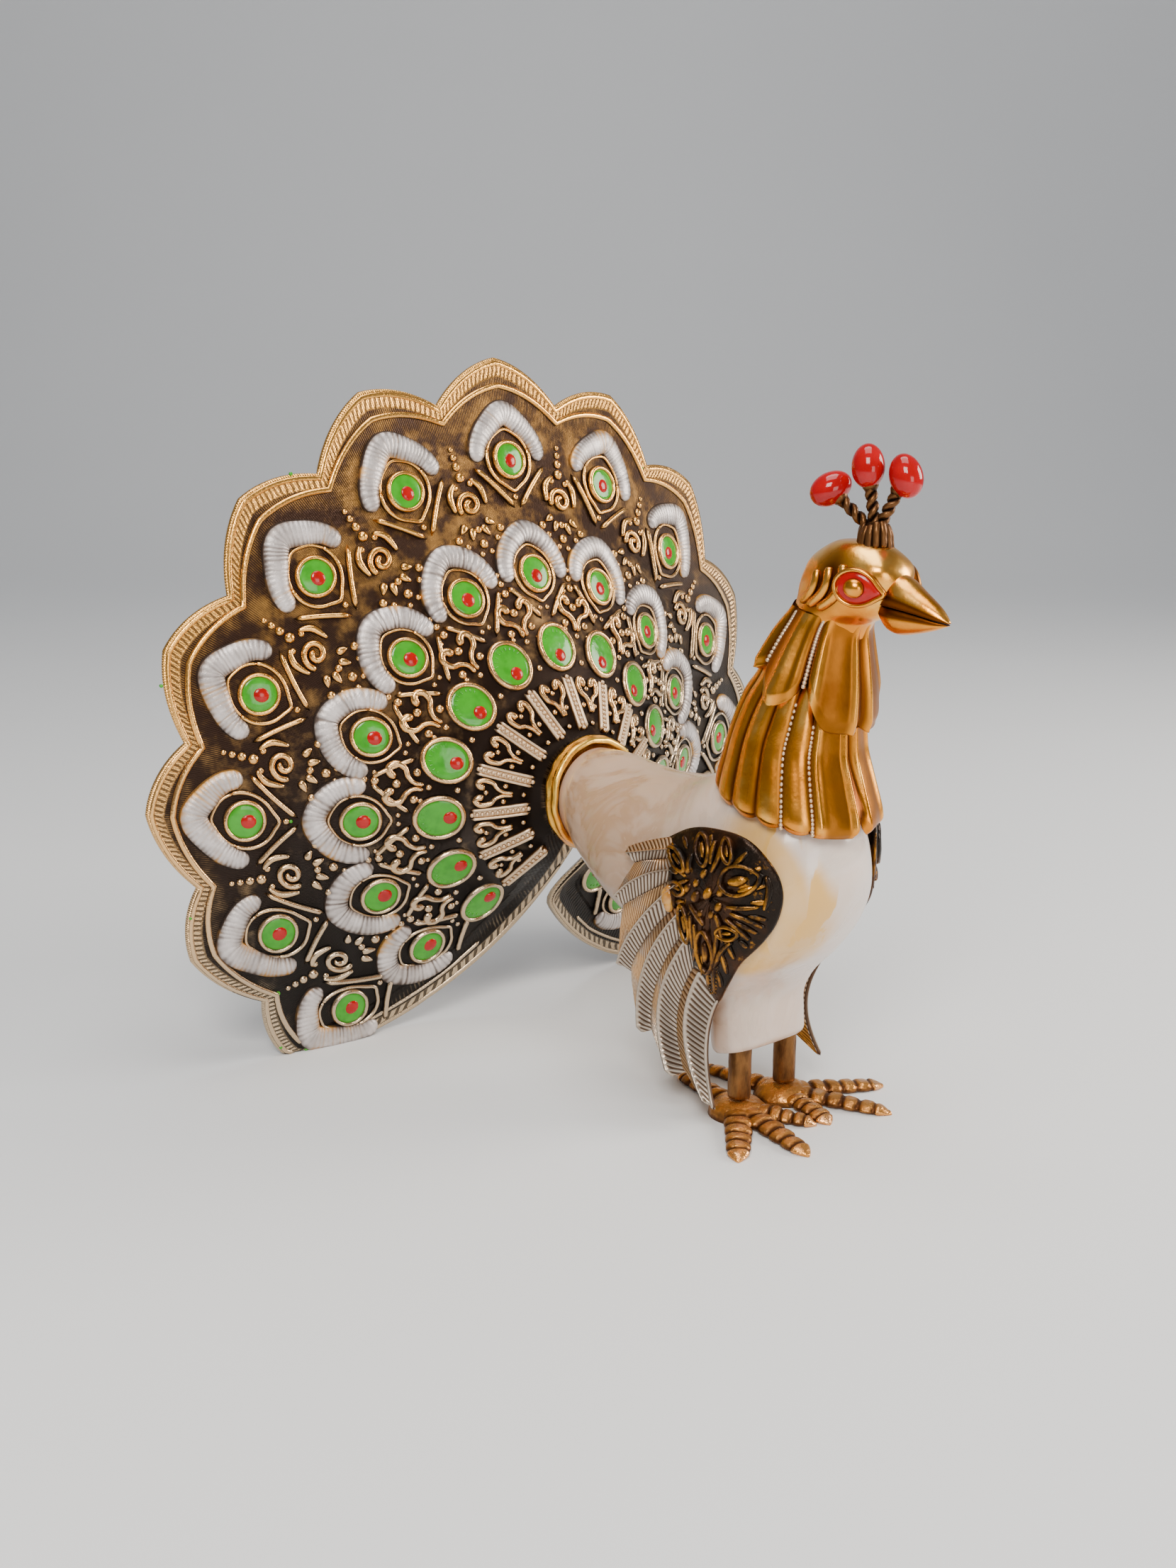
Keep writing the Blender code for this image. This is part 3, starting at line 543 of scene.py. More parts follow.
def spiral(turns, radius, steps=44):
    """Points of a spiral that opens outward."""
    points = []
    for step in range(steps + 1):
        t = step / steps
        angle = TAU * turns * t + 0.6
        opened = radius * (0.12 + 0.88 * t)
        points.append((opened * math.cos(angle), opened * math.sin(angle)))
    return points


def ball(mesh, ray, reach, x, y, radius):
    """A small ball half sunk in the tail."""
    point, front = on_tail(*beside(ray, reach, x, y))
    turned(mesh, dome(radius, 0.0, radius * 0.85, 4), 8, point, front)


def leaf(mesh, ray, reach, start, end, width):
    """A small pointed leaf."""
    ridge(mesh, tail_line(ray, reach, straight(start, end)), width, 0.55,
          tapering=lambda t: max(0.12, math.sin(math.pi * min(1.0, 0.25 + 0.75 * t))))


def make_tail_lines(finish):
    """The raised lines, spirals, curls, leaves and balls of the stamping."""
    mesh = new_form()
    rim_steps = 26 * (LOBES - 1)
    rays = [LOBE_STEP * (LOBES - 1) * (step / rim_steps - 0.5) for step in range(rim_steps + 1)]
    tips = [math.copysign(EDGE_ANGLE, side) for side in (-1, 1)]
    rays = [tips[0]] + rays + [tips[1]]
    rim = [on_tail(outline_reach(ray) - 0.016, ray, -0.1) for ray in rays]
    ridge(mesh, rim, 1.0, 0.3)
    inner = [on_tail(outline_reach(ray) - 0.05 - 0.024 * lobe_rise(ray), ray, -0.1) for ray in rays[1:-1]]
    ridge(mesh, inner, 1.15, 0.6, 8)
    for side in (-1, 1):
        reaches = [1.22 - 0.98 * step / 60 for step in range(61)]
        low = [on_tail(reach, side * (edge_ray(reach) - 0.016 / reach), -0.1) for reach in reaches]
        ridge(mesh, low, 0.8, 0.3)
        low = [on_tail(reach, side * (edge_ray(reach) - 0.066 / reach), -0.1) for reach in reaches[4:40]]
        ridge(mesh, low, 0.8, 0.45)

    for ray in lobe_rays():
        eye = OUTER_EYE_REACH
        for side in (-1, 1):
            strut = straight((side * 7.8, -0.6), (side * 0.6, -8.6))
            ridge(mesh, tail_line(ray, eye, strut), 1.05, 0.9)
        cup = [(x, y - 0.7 * hill(x, 0.0, 1.2)) for x, y in arc(4.6, 4.8, 62, 298, 36)]
        ridge(mesh, tail_line(ray, eye, cup), 0.8, 0.6)
        ball(mesh, ray, eye, 0.0, -6.6, 0.6)
        brim = [(x, y + 0.4 * hill(x, 0.0, 1.2)) for x, y in arc(4.5, 5.0, -70, 70, 30)]
        ridge(mesh, tail_line(ray, eye, brim), 0.6, 0.5)

        eye = MIDDLE_EYE_REACH
        for side in (-1, 1):
            ridge(mesh, tail_line(ray, eye, straight((side * 6.7, -1.2), (side * 1.3, -8.3))), 1.0, 0.85)
            ball(mesh, ray, eye, side * 0.9, -6.2, 0.5)
        cup = [(x, y - 0.6 * hill(x, 0.0, 1.0)) for x, y in arc(4.2, 4.5, 62, 298, 36)]
        ridge(mesh, tail_line(ray, eye, cup), 0.7, 0.55)
        brim = [(x, y + 0.4 * hill(x, 0.0, 1.2)) for x, y in arc(4.1, 4.9, -70, 70, 30)]
        ridge(mesh, tail_line(ray, eye, brim), 0.55, 0.45)

    for ray in notch_rays():
        ridge(mesh, tail_line(ray, FIELD_REACH, spiral(1.5, 2.35)), 1.15, 0.85, 8)
        for side in (-1, 1):
            curve = [(side * x, y) for x, y in ((1.5, 4.3), (3.1, 2.4), (3.3, -0.6))]
            ridge(mesh, tail_line(ray, FIELD_REACH, curve, 14), 1.35, 0.8,
                  tapering=belly(0.3, 0.8))
            leaf(mesh, ray, FIELD_REACH, (side * 2.0, -2.9), (side * 4.0, -4.2), 1.6)
            leaf(mesh, ray, FIELD_REACH, (side * 1.0, -3.7), (side * 2.1, -6.0), 1.6)
            ball(mesh, ray, FIELD_REACH, side * 4.9, -5.0, 0.8)
            ball(mesh, ray, FIELD_REACH, side * 1.5, 3.5, 0.6)
            ball(mesh, ray, FIELD_REACH, side * 3.6, -6.6, 0.6)
            ball(mesh, ray, FIELD_REACH, side * 1.2, -8.6, 0.55)
        for y, radius in ((4.9, 0.95), (6.8, 0.8), (8.4, 0.65), (9.8, 0.5), (-4.4, 0.7), (-7.0, 0.9)):
            ball(mesh, ray, FIELD_REACH, 0.0, y, radius)
        for part, stretch, thick in CURL_SIZES:
            for side in (-1, 1):
                points = [(side * x * stretch, y) for x, y in CURL]
                ridge(mesh, tail_line(ray, part, points, 40), thick, 0.95, 8,
                      tapering=lambda t: 0.6 + 0.7 * t)
                ball(mesh, ray, part, side * 2.5 * stretch, -2.1, 0.75 * stretch + 0.1)
            ball(mesh, ray, part, 0.0, 1.0, 0.9 * stretch)
        for part, balls in CURL_BALLS:
            for x, y, radius in balls:
                ball(mesh, ray, part, x, y, radius)
    piece("tail_lines", mesh, finish, *TAIL)


def eye_frame(ray, reach):
    """The place, front and across direction of a tail eye."""
    point, front = on_tail(reach, ray)
    across = fan_point(reach, ray + 0.01) - fan_point(reach, ray - 0.01)
    return point, front, across


def tail_eyes():
    """Ray, reach, radius across and outward, and the red drop's shift towards the collar, of every eye."""
    eyes = []
    for lobe, ray in enumerate(lobe_rays()):
        wander = noise.noise(Vector((lobe * 1.7, 3.1, 0.0)))
        eyes.append((ray, OUTER_EYE_REACH, 2.85, 2.85, 0.35 + 0.5 * wander))
        eyes.append((ray, MIDDLE_EYE_REACH, 2.75, 2.95, 0.5 - 0.4 * wander))
        eyes.append((ray, INNER_EYE_REACH, 3.2, 3.75, 1.7 + 0.3 * wander))
    return eyes


# The section of an eye's rim: radius in shares of the eye's, height and the mark of wear and painted shade
RIM = (
    (1.24, -0.3, 0.0), (1.23, 0.35, 0.4), (1.17, 0.75, 0.9), (1.07, 0.9, 1.0),
    (0.99, 0.75, 0.8), (0.97, 0.3, 0.2), (0.97, -0.3, 0.0), (1.24, -0.3, 0.0),
)


def make_tail_rims(finish):
    """The bright rims that hold the enamel."""
    mesh = new_form()
    for ray, reach, across, outward, _ in tail_eyes():
        point, front, aside = eye_frame(ray, reach)
        turned(mesh, RIM, 32, point, front, (across, outward), aside)
    piece("tail_eye_rims", mesh, finish, *TAIL)


def make_tail_greens(finish):
    """The green enamel, with small ticks along the inner eyes' outer side."""
    mesh = new_form()
    for ray, reach, across, outward, _ in tail_eyes():
        point, front, aside = eye_frame(ray, reach)
        profile = [(radius, height, 0.0) for radius, height, _ in dome(1.0, 0.45, 0.72, 5)]
        turned(mesh, profile, 28, point, front, (across, outward), aside)
        if reach == INNER_EYE_REACH:
            for tick in range(9):
                angle = math.radians((tick - 4) * 17)
                x, y = across * math.sin(angle), outward * math.cos(angle)
                points = straight((0.66 * x, 0.66 * y), (0.86 * x, 0.86 * y), 6)
                ridge(mesh, tail_line(ray, reach, points, lift=0.58), 0.32, 0.14)
    piece("tail_green_enamel", mesh, finish, *TAIL)


def make_tail_reds(finish):
    """The red drops on the green enamel."""
    mesh = new_form()
    for ray, reach, _, outward, shift in tail_eyes():
        radius = 1.12 if reach == INNER_EYE_REACH else 1.2
        spot_reach, spot_ray = beside(ray, reach, 0.0, -shift)
        point, front, aside = eye_frame(spot_ray, spot_reach)
        profile = dome(radius, 0.6, 0.98, 5)
        turned(mesh, profile, 20, point, front, (1.0, 1.08), aside)
    piece("tail_red_enamel", mesh, finish, *TAIL)


def make_tail_splashes(finish):
    """Small drops of green paint that landed beside the eyes."""
    mesh = new_form()
    drops = ((-6, 0.5, 1.10, 0.45), (-6, -0.42, 1.185, 0.35), (-6, -0.5, 1.11, 0.5), (-6, 0.1, 1.235, 0.35),
             (-6, -0.1, 1.215, 0.4), (-5, 0.3, 1.20, 0.3), (-3, -0.2, 1.24, 0.3), (-2, 0.35, 1.2, 0.3),
             (-4, 0.0, 0.86, 0.3), (1, 0.45, 1.13, 0.3))
    for lobe, off, reach, radius in drops:
        point, front = on_tail(reach, (lobe + off) * LOBE_STEP)
        turned(mesh, dome(radius, 0.05, 0.2, 3), 10, point, front)
    piece("tail_paint_drops", mesh, finish, *TAIL)


def make_tail_bars(finish):
    """The silvered bars between the inner eyes and the collar, with a row of beads in each."""
    mesh = new_form()
    start, end = BAR_REACHES
    reaches = [start + (end - start) * step / 14 for step in range(15)]
    beads = 12
    for ray in lobe_rays():
        for side in (-1, 1):
            ridge(mesh, [on_tail(*beside(ray, reach, side * 0.75, 0.0)) for reach in reaches], 0.6, 0.75)
        ridge(mesh, [on_tail(reach, ray) for reach in reaches], 1.5, 0.4)
        for bead in range(beads):
            reach = start - 0.006 + (end - start + 0.012) * bead / (beads - 1)
            point, front = on_tail(reach, ray)
            turned(mesh, dome(0.42, 0.3, 0.78, 3), 8, point, front)
    piece("tail_bars", mesh, finish, *TAIL)


# Collar, shell, neck and head


def make_collar(finish):
    """The gilt ring, a little uneven from hand work, closed by a low dome behind the tail."""
    mesh = new_form()
    spigot = (HOLE_RADIUS - SHEET_THICKNESS / 2) / MM - 0.3
    profile = [(7.2, -1.2), (8.6, -1.0), (8.9, -0.3), (9.2, 0.0), (9.5, 0.0), (9.8, -0.15), (9.95, -0.6),
               (9.8, -1.0), (9.75, -1.3), (9.95, -1.7), (10.0, -2.2), (9.8, -2.55), (9.4, -2.75)]
    profile = [(0.0, -1.2, 0.0)] + [(radius, height, 1.0) for radius, height in profile]
    back = -COLLAR_LENGTH / MM + COLLAR_BACK_SLOPE * (COLLAR_RADIUS / MM - spigot)
    profile += [(spigot, back, 0.3), (spigot, -5.0, 0.5), (spigot * 0.85, -5.6, 0.7)]
    profile += [(spigot * 0.5, -6.1, 0.8), (0.0, -6.3, 0.8)]
    turned(mesh, profile, 120, COLLAR_CENTRE, COLLAR_AXIS)
    for vert in mesh.verts:
        out = vert.co - COLLAR_CENTRE
        if vert.co.y < COLLAR_CENTRE.y + COLLAR_LENGTH:
            vert.co += out.normalized() * 0.32 * MM * (noise.noise(vert.co * 330.0) - 0.4)
    piece("collar_ring", mesh, finish, "tail_collar", "gilt")


def oval(row, angle):
    """A point of a cross-section, angle from its first point."""
    first = Vector((0.0, row[0], row[1])) * MM
    last = Vector((0.0, row[2], row[3])) * MM
    power = row[5] if len(row) > 5 else 2.0
    centre = (first + last) / 2
    c, s = math.cos(angle), math.sin(angle)
    size = (abs(c) ** power + abs(s) ** power) ** (-1 / power)
    return centre, (first - centre) * (size * c) + Vector((row[4] * MM * size * s, 0.0, 0.0))


def make_shell(finish):
    """The polished shell body, closed by its flat ends."""
    mesh = new_form()
    rows = 150

    def place(u, v):
        row = round(v * rows)
        t = min(max((row - 2) / (rows - 4), 0.0), 1.0)
        centre, out = oval(between(SHELL_SECTIONS, t), TAU * u)
        rounding = min(row, rows - row)
        size = (0.0, 0.9, 0.96, 0.99, 1.0)[min(rounding, 4)]
        return centre + out * size

    surface(mesh, 112, rows, place, worn=lambda u, v: 1.0)
    piece("shell_body", mesh, finish, "body_shell", "mother_of_pearl")


def degrees_off_seam(u):
    """The angle from the front seam, from 0 to 180, for a turn u of a cross-section."""
    return 360 * min(u, 1 - u)


CAPE_GROOVES = (0, 40, 62, 82, 105, 128, 152, 180)


def flute(angle, grooves):
    """Rounded flutes between grooves: 0 in a groove and 1 on top."""
    for start, end in zip(grooves, grooves[1:]):
        if angle <= end:
            f = (angle - start) / (end - start)
            return max(0.0, math.sin(math.pi * f)) ** 0.55
    return 0.0


def cape_relief(angle, t):
    """The lower tier's relief in millimetres, and its mark of wear and painted shade: high on the raised
    parts, low in the grooves.
    """
    lobes = flute(angle, CAPE_GROOVES)
    height = 0.75 * lobes
    if angle < 40:
        height = 0.35 + 0.5 * hill(angle, 35, 4) + 0.75 * hill(angle, 7, 2.6) - 0.3 * hill(angle, 0, 2.5)
        height -= 0.35 * hill(angle, 40, 3)
    raised = min(1.0, height / 0.75)
    low = ease(t / 0.12)
    return height * (0.35 + 0.65 * low) - 0.5 * (1 - low) ** 2 - 0.75, raised


def make_cape(finish):
    """The lower tier of the neck: fluted lobes round an open front seam."""
    mesh = new_form()
    rows = 56

    def spot(u, v):
        row = max(0, round(v * rows) - 2)
        return degrees_off_seam(u), row / (rows - 2)

    def place(u, v):
        angle, t = spot(u, v)
        centre, out = oval(between(CAPE_SECTIONS, t), TAU * u)
        row = round(v * rows)
        height, _ = cape_relief(angle, t)
        scallop = 0.9 * MM * (1 - flute(angle, CAPE_GROOVES)) * (1 - ease(t / 0.15)) if angle > 40 else 0.0
        opening = 2.2 * MM * hill(angle, 0, 4.5) * (1 - ease(t / 0.5))
        point = centre + out * (1 + height * MM / out.length) + Vector((0, 0, scallop + opening))
        if row < 2:
            inner = centre + out * (1 - (1.6 - 0.5 * row) * MM / out.length)
            point = inner + Vector((0, 0, (0.5 - 0.4 * row) * MM + scallop + opening))
        return point

    surface(mesh, 300, rows, place, worn=lambda u, v: cape_relief(*spot(u, v))[1])
    piece("neck_cape", mesh, finish, *NECK)


def mantle_edge(angle):
    """How far up the upper tier's lower edge lies, from 0 to 1, at an angle from the seam."""
    if angle < 62:
        return 0.12 + 0.26 * ease((angle - 27) / 35) ** 1.7 + 0.04 * hill(angle, 0, 6)
    if angle < 114:
        return 0.17 + 0.21 * abs((angle - 88) / 26) ** 1.8
    return 0.26 + 0.14 * abs((angle - 147) / 33) ** 2.2


def mantle_relief(angle, t):
    """The upper tier's relief in millimetres, and its mark of wear and painted shade, higher where it is
    raised.
    """
    up = 1 - ease((t - 0.55) / 0.45)
    height = 0.55 * hill(angle, 10, 3.5) + 0.6 * hill(angle, 52, 5) + 0.7 * hill(angle, 88, 9)
    height += 0.6 * hill(angle, 128, 7) + 0.6 * hill(angle, 165, 10) + 0.25 * hill(angle, 72, 4)
    height -= 0.8 * hill(angle, 62, 3) + 0.6 * hill(angle, 114, 4) + 0.4 * hill(angle, 0, 3)
    raised = min(1.0, max(0.0, 0.42 + 0.9 * height))
    return height * (0.35 + 0.65 * up), raised


def make_mantle(finish):
    """The upper tier: a broad front lobe, a narrow one beside it and the back lobes."""
    mesh = new_form()
    rows = 64

    def spot(u, v):
        angle = degrees_off_seam(u)
        row = max(0, round(v * rows) - 3) / (rows - 3)
        return angle, mantle_edge(angle) + (1 - mantle_edge(angle)) * row

    def place(u, v):
        angle, t = spot(u, v)
        row = round(v * rows)
        centre, out = oval(between(NECK_SECTIONS, t), TAU * u)
        height, _ = mantle_relief(angle, t)
        lip = (t - mantle_edge(angle)) / 0.1
        height += 0.25 - 0.5 * (1 - ease(lip))
        if row < 3:
            height = (-1.7, -1.1, -0.45)[row]
        return centre + out * (1 + height * MM / out.length)

    surface(mesh, 320, rows, place, worn=lambda u, v: mantle_relief(*spot(u, v))[1])
    piece("neck_mantle", mesh, finish, *NECK)


def neck_spot(rows, angle, t, side, lift=0.0):
    """A place on a neck section's surface, raised by a lift in millimetres, with the direction it faces."""
    centre, out = oval(between(rows, t), side * math.radians(angle))
    return centre + out * (1 + lift * MM / out.length), out.normalized()


def make_neck_beads(finish):
    """Rows of worn beads in the grooves of both tiers."""
    mesh = new_form()
    rows = ((CAPE_SECTIONS, 40, 0.05, 0.72, 24), (CAPE_SECTIONS, 62, 0.05, 0.80, 24),
            (NECK_SECTIONS, 62, 0.38, 0.98, 24), (NECK_SECTIONS, 114, 0.42, 0.9, 16))
    for side in (-1, 1):
        for table, angle, start, end, count in rows:
            for bead in range(count):
                t = start + (end - start) * bead / (count - 1)
                lift = -0.85 if table is CAPE_SECTIONS else -0.25
                point, front = neck_spot(table, angle, t, side, lift)
                turned(mesh, dome(0.38, 0.0, 0.5, 3), 8, point, front)
    piece("neck_beads", mesh, finish, *NECK)


def head_spot(angle, t, side, lift=0.0):
    """A place on the head, raised by a lift in millimetres, with the direction it faces."""
    step = 0.01
    centre, out = oval(between(HEAD_SECTIONS, t), side * angle)
    ahead = sum(oval(between(HEAD_SECTIONS, t), side * (angle + step)), Vector())
    above = sum(oval(between(HEAD_SECTIONS, t + step), side * angle), Vector())
    point = centre + out
    front = (ahead - point).cross(above - point).normalized() * side
    if front.dot(out) < 0:
        front.negate()
    return point + front * (lift * MM), front


def make_head(finish):
    """The smooth dome of the head."""
    mesh = new_form()
    rows = 72

    def place(u, v):
        row = round(v * rows)
        centre, out = oval(between(HEAD_SECTIONS, min(row / (rows - 1), 1.0)), TAU * u)
        angle = degrees_off_seam(u)
        brow = 0.5 * MM * hill(angle, 38, 16) * hill(v, 0.66, 0.09)
        return centre + out * (0.0 if row in (0, rows) else 1 + brow / max(out.length, MM))

    def worn(u, v):
        angle = degrees_off_seam(u)
        fold = hill(angle, 90, 17) * hill(v, 0.44, 0.3)
        return 1.0 - 0.95 * fold

    surface(mesh, 96, rows, place, worn=worn)
    for side in (-1, 1):
        for fold in range(3):
            middle = 80 + 15 * fold
            line = []
            for step in range(21):
                f = step / 20
                angle = middle - 9 * math.sin(math.pi * f) + 8 * (1 - f)
                line.append(head_spot(math.radians(angle), 0.24 + (0.42 - 0.04 * fold) * f, side, -0.15))
            ridge(mesh, line, 1.55, 0.9, 8)
    piece("head", mesh, finish, *NECK)


def make_beak(finish):
    """The two halves of the beak, shut on a dark line."""
    mesh = new_form()
    mouth = ((-39.5, 81.3), (-42.4, 81.2), (-46.0, 80.6), (-49.0, 79.9), (-50.7, 79.5))
    upper = ((-39.5, 86.4, 2.3), (-43.2, 85.4, 3.0), (-46.2, 83.5, 2.3), (-49.0, 81.6, 1.35),
             (-50.8, 79.8, 0.3))
    lower = ((-41.2, 77.6, 2.0), (-43.0, 77.3, 2.8), (-45.8, 77.8, 2.1), (-48.4, 78.5, 1.2),
             (-50.5, 79.3, 0.2))
    for gap, crest in ((0.14, upper), (-0.14, lower)):
        sections = [(y, z, *lips, width) for (y, z, width), lips in zip(crest, mouth)]

        def place(u, v, sections=sections, gap=gap):
            y, z, mouth_y, mouth_z, width = between(sections, ease(v) * 0.4 + v * 0.6)
            angle = math.pi * (2 * u if u < 0.5 else 1.0)
            size = 0.0 if v in (0.0, 1.0) else 1.0
            if u < 0.5:
                reach = math.sin(angle) ** 0.8 * size
                return Vector((
                    width * math.cos(angle) * size,
                    mouth_y + (y - mouth_y) * reach,
                    mouth_z + gap + (z - mouth_z - gap) * reach,
                )) * MM
            back = 4 * u - 3
            return Vector((width * back * size, mouth_y, mouth_z + gap)) * MM

        def worn(u, v):
            return 0.15 if u > 0.46 or u < 0.04 else 1.0

        surface(mesh, 32, 30, place, worn=worn)
    piece("beak", mesh, finish, *NECK)


def eye_line(side, across, upward, steps, lift, point_out=0.0):
    """A closed almond round the bird's eye, pointed towards the beak."""
    centre, front = head_spot(EYE_ANGLE, EYE_HEIGHT, side)
    ahead = Vector((0, -1, -0.18))
    ahead = (ahead - front * ahead.dot(front)).normalized()
    above = front.cross(ahead) * side
    if above.z < 0:
        above.negate()
    line = []
    for step in range(steps + 1):
        angle = TAU * step / steps
        forward = across * math.cos(angle) + point_out * hill(math.sin(angle / 2), 0.0, 0.3)
        forward += point_out * hill(math.sin(angle / 2), 0.0, 0.12)
        rise = upward * math.sin(angle)
        curve = -0.022 * (forward ** 2 + rise ** 2)
        line.append((centre + (ahead * forward + above * rise + front * (lift + curve)) * MM, front))
    return line, centre, front, ahead


def make_eye_lids(finish):
    """The almond lids and the domed pupils."""
    mesh = new_form()
    for side in (-1, 1):
        line, centre, front, ahead = eye_line(side, 2.9, 2.4, 64, 0.15, 0.6)
        ridge(mesh, line, 0.75, 0.75, 8, sunk=0.6, closed=True)
        turned(mesh, dome(1.35, 0.7, 1.8, 8), 28, centre, front, (1.1, 1.0), ahead)
    piece("eye_lids", mesh, finish, *NECK)


def make_eye_enamel(finish):
    """The red enamel between lid and pupil."""
    mesh = new_form()
    profile = ((0.0, 0.75), (0.4, 0.75), (0.7, 0.72), (0.9, 0.6), (1.0, 0.3), (1.0, -0.5), (0.0, -0.5))
    for side in (-1, 1):
        line, centre, front, _ = eye_line(side, 2.75, 2.25, 48, 0.0, 0.55)

        def place(u, v, line=line, centre=centre, front=front):
            point = line[round(v * 48)][0]
            size, lift = profile[round(u * 6)]
            return centre + (point - centre) * size + front * (lift * MM)

        surface(mesh, 6, 48, place, worn=lambda u, v: 1.0)
    piece("eye_enamel", mesh, finish, *NECK)


# Crest


CREST_BASE = Vector((0.0, -37.4, 89.2)) * MM
CREST_RADIUS = 2.4
CREST_HEIGHT = 3.0
BEADS = (
    ("left", Vector((-2.2, -30.9, 96.6)) * MM, Vector((0.728, -0.476, 0.494))),
    ("middle", Vector((-0.1, -35.6, 99.8)) * MM, Vector((0.144, 0.180, 0.973))),
    ("right", Vector((1.9, -40.6, 98.6)) * MM, Vector((-0.048, 0.336, 0.941))),
)
BEAD_WIDE = 2.3
BEAD_LONG = 3.1


def make_crest(finish):
    """The bound block of strands and its wires, each twisted from two strands."""
    mesh = new_form()
    upward = Vector((0, 0, 1))
    base = ((0.0, -0.3, 0.0), (0.88, -0.3, 0.0), (0.86, 0.0, 0.0), (0.82, 0.6, 0.0), (0.5, 0.98, 0.2),
            (0.0, 1.0, 0.2))
    base = [(radius * CREST_RADIUS, height * CREST_HEIGHT, worn) for radius, height, worn in base]
    turned(mesh, base, 28, CREST_BASE, upward)
    strands = 13
    for strand in range(strands):
        angle = TAU * strand / strands
        out = Vector((math.cos(angle), math.sin(angle), 0.0))
        line = []
        for radius, height in smooth(((0.98, -0.2), (0.9, 0.3), (0.84, 0.65), (0.6, 1.05)), 12):
            height += 0.12 * math.sin(5.0 * strand)
            spot = out * (radius * CREST_RADIUS) + upward * (height * CREST_HEIGHT)
            line.append((CREST_BASE + spot * MM, out))
        ridge(mesh, line, 1.15, 0.42)
    for _, centre, bead_axis in BEADS:
        start = CREST_BASE + upward * (CREST_HEIGHT / 2 * MM)
        axis = (centre - start).normalized()
        along = abs(axis.dot(bead_axis.normalized()))
        inside = 1 / math.sqrt((along / BEAD_LONG) ** 2 + (1 - along ** 2) / BEAD_WIDE ** 2)
        length = (centre - start).length - (inside - 0.25) * MM
        aside = axis.orthogonal().normalized()
        forward = axis.cross(aside)
        for strand in (0, 1):
            line = []
            for step in range(49):
                f = step / 48
                angle = TAU * (2.1 * f + strand / 2)
                out = aside * math.cos(angle) + forward * math.sin(angle)
                line.append((start + axis * (length * f) + out * (0.42 * MM), out))
            ridge(mesh, line, 1.0, 0.5, 8, sunk=0.42)
        cup = [(0.0, -0.6, 0.0), (0.8, -0.6, 0.3), (1.15, 0.0, 1.0), (1.2, 0.35, 0.7), (0.0, 0.45, 0.4)]
        turned(mesh, cup, 16, start + axis * length, axis)
    piece("crest_wires", mesh, finish, "crest_stems", "dark_brass")


def make_beads(finish):
    """The three egg-shaped beads."""
    for name, centre, axis in BEADS:
        mesh = new_form()
        profile = []
        for step in range(25):
            angle = math.pi * step / 24
            radius = BEAD_WIDE * math.sin(angle) * (1 + 0.04 * math.cos(angle))
            profile.append((radius, -BEAD_LONG * math.cos(angle), 1.0))
        turned(mesh, profile, 40, centre, axis)
        piece("glass_bead_" + name, mesh, finish, "crest_bead_" + name, "red_bead")


# Legs and feet


def make_legs(finish):
    """The round rods, a little dented."""
    for name in ("right", "left"):
        mesh = new_form()
        low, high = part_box(name + "_leg")
        middle = (low + high) / 2
        radius = (high.x - low.x) / 2 / MM
        height = (high.z - low.z) / MM
        profile = [(0.0, 0.0, 0.5), (radius * 0.96, 0.0, 0.5)]
        profile += [(radius * 0.985, height * step / 24, 0.5) for step in range(1, 24)]
        profile += [(radius * 0.96, height, 0.5), (0.0, height, 0.5)]
        turned(mesh, profile, 40, Vector((middle.x, middle.y, low.z)), Vector((0, 0, 1)))
        for vert in mesh.verts:
            out = Vector((vert.co.x - middle.x, vert.co.y - middle.y, 0.0))
            vert.co -= out.normalized() * 0.12 * MM * abs(noise.noise(vert.co * 300.0))
        piece(name + "_leg_rod", mesh, finish, name + "_leg", "dark_brass")


def toe(mesh, start, direction, length, root, tip, height):
    """A ringed toe with a flat sole and a claw, its sizes in millimetres."""
    aside = Vector((-direction.y, direction.x, 0.0))
    rings = 7
    steps = 84

    def profile(f):
        ring = 0.5 + 0.5 * math.cos(TAU * rings * f)
        fade = ease((f - 0.2) / 0.1) * (1 - ease((f - 0.84) / 0.06))
        size = 1 - 0.17 * fade * ring ** 3
        width = root + (tip - root) * f
        rise = height * (1 - 0.42 * f)
        if f > 0.86:
            claw = (f - 0.86) / 0.14
            width *= 1 - 0.9 * claw ** 1.6
            rise *= 1 - 0.72 * claw ** 1.6
        return width * size / 2, rise * size, 1 - 0.85 * fade * ring ** 3

    def place(u, v):
        width, rise, _ = profile(u)
        size = 0.0 if u in (0.0, 1.0) else 1.0
        angle = TAU * v
        up = max(0.0, 0.42 + 0.58 * math.sin(angle))
        point = direction * (length * u) + aside * (width * math.cos(angle) * size)
        return start + (point + Vector((0, 0, rise * up * size))) * MM

    def worn(u, v):
        claw = 1.0 if u > 0.88 else 0.0
        return max(profile(u)[2] * (0.35 + 0.65 * max(0.0, math.sin(TAU * v))), claw)

    surface(mesh, steps, 18, place, worn=worn)


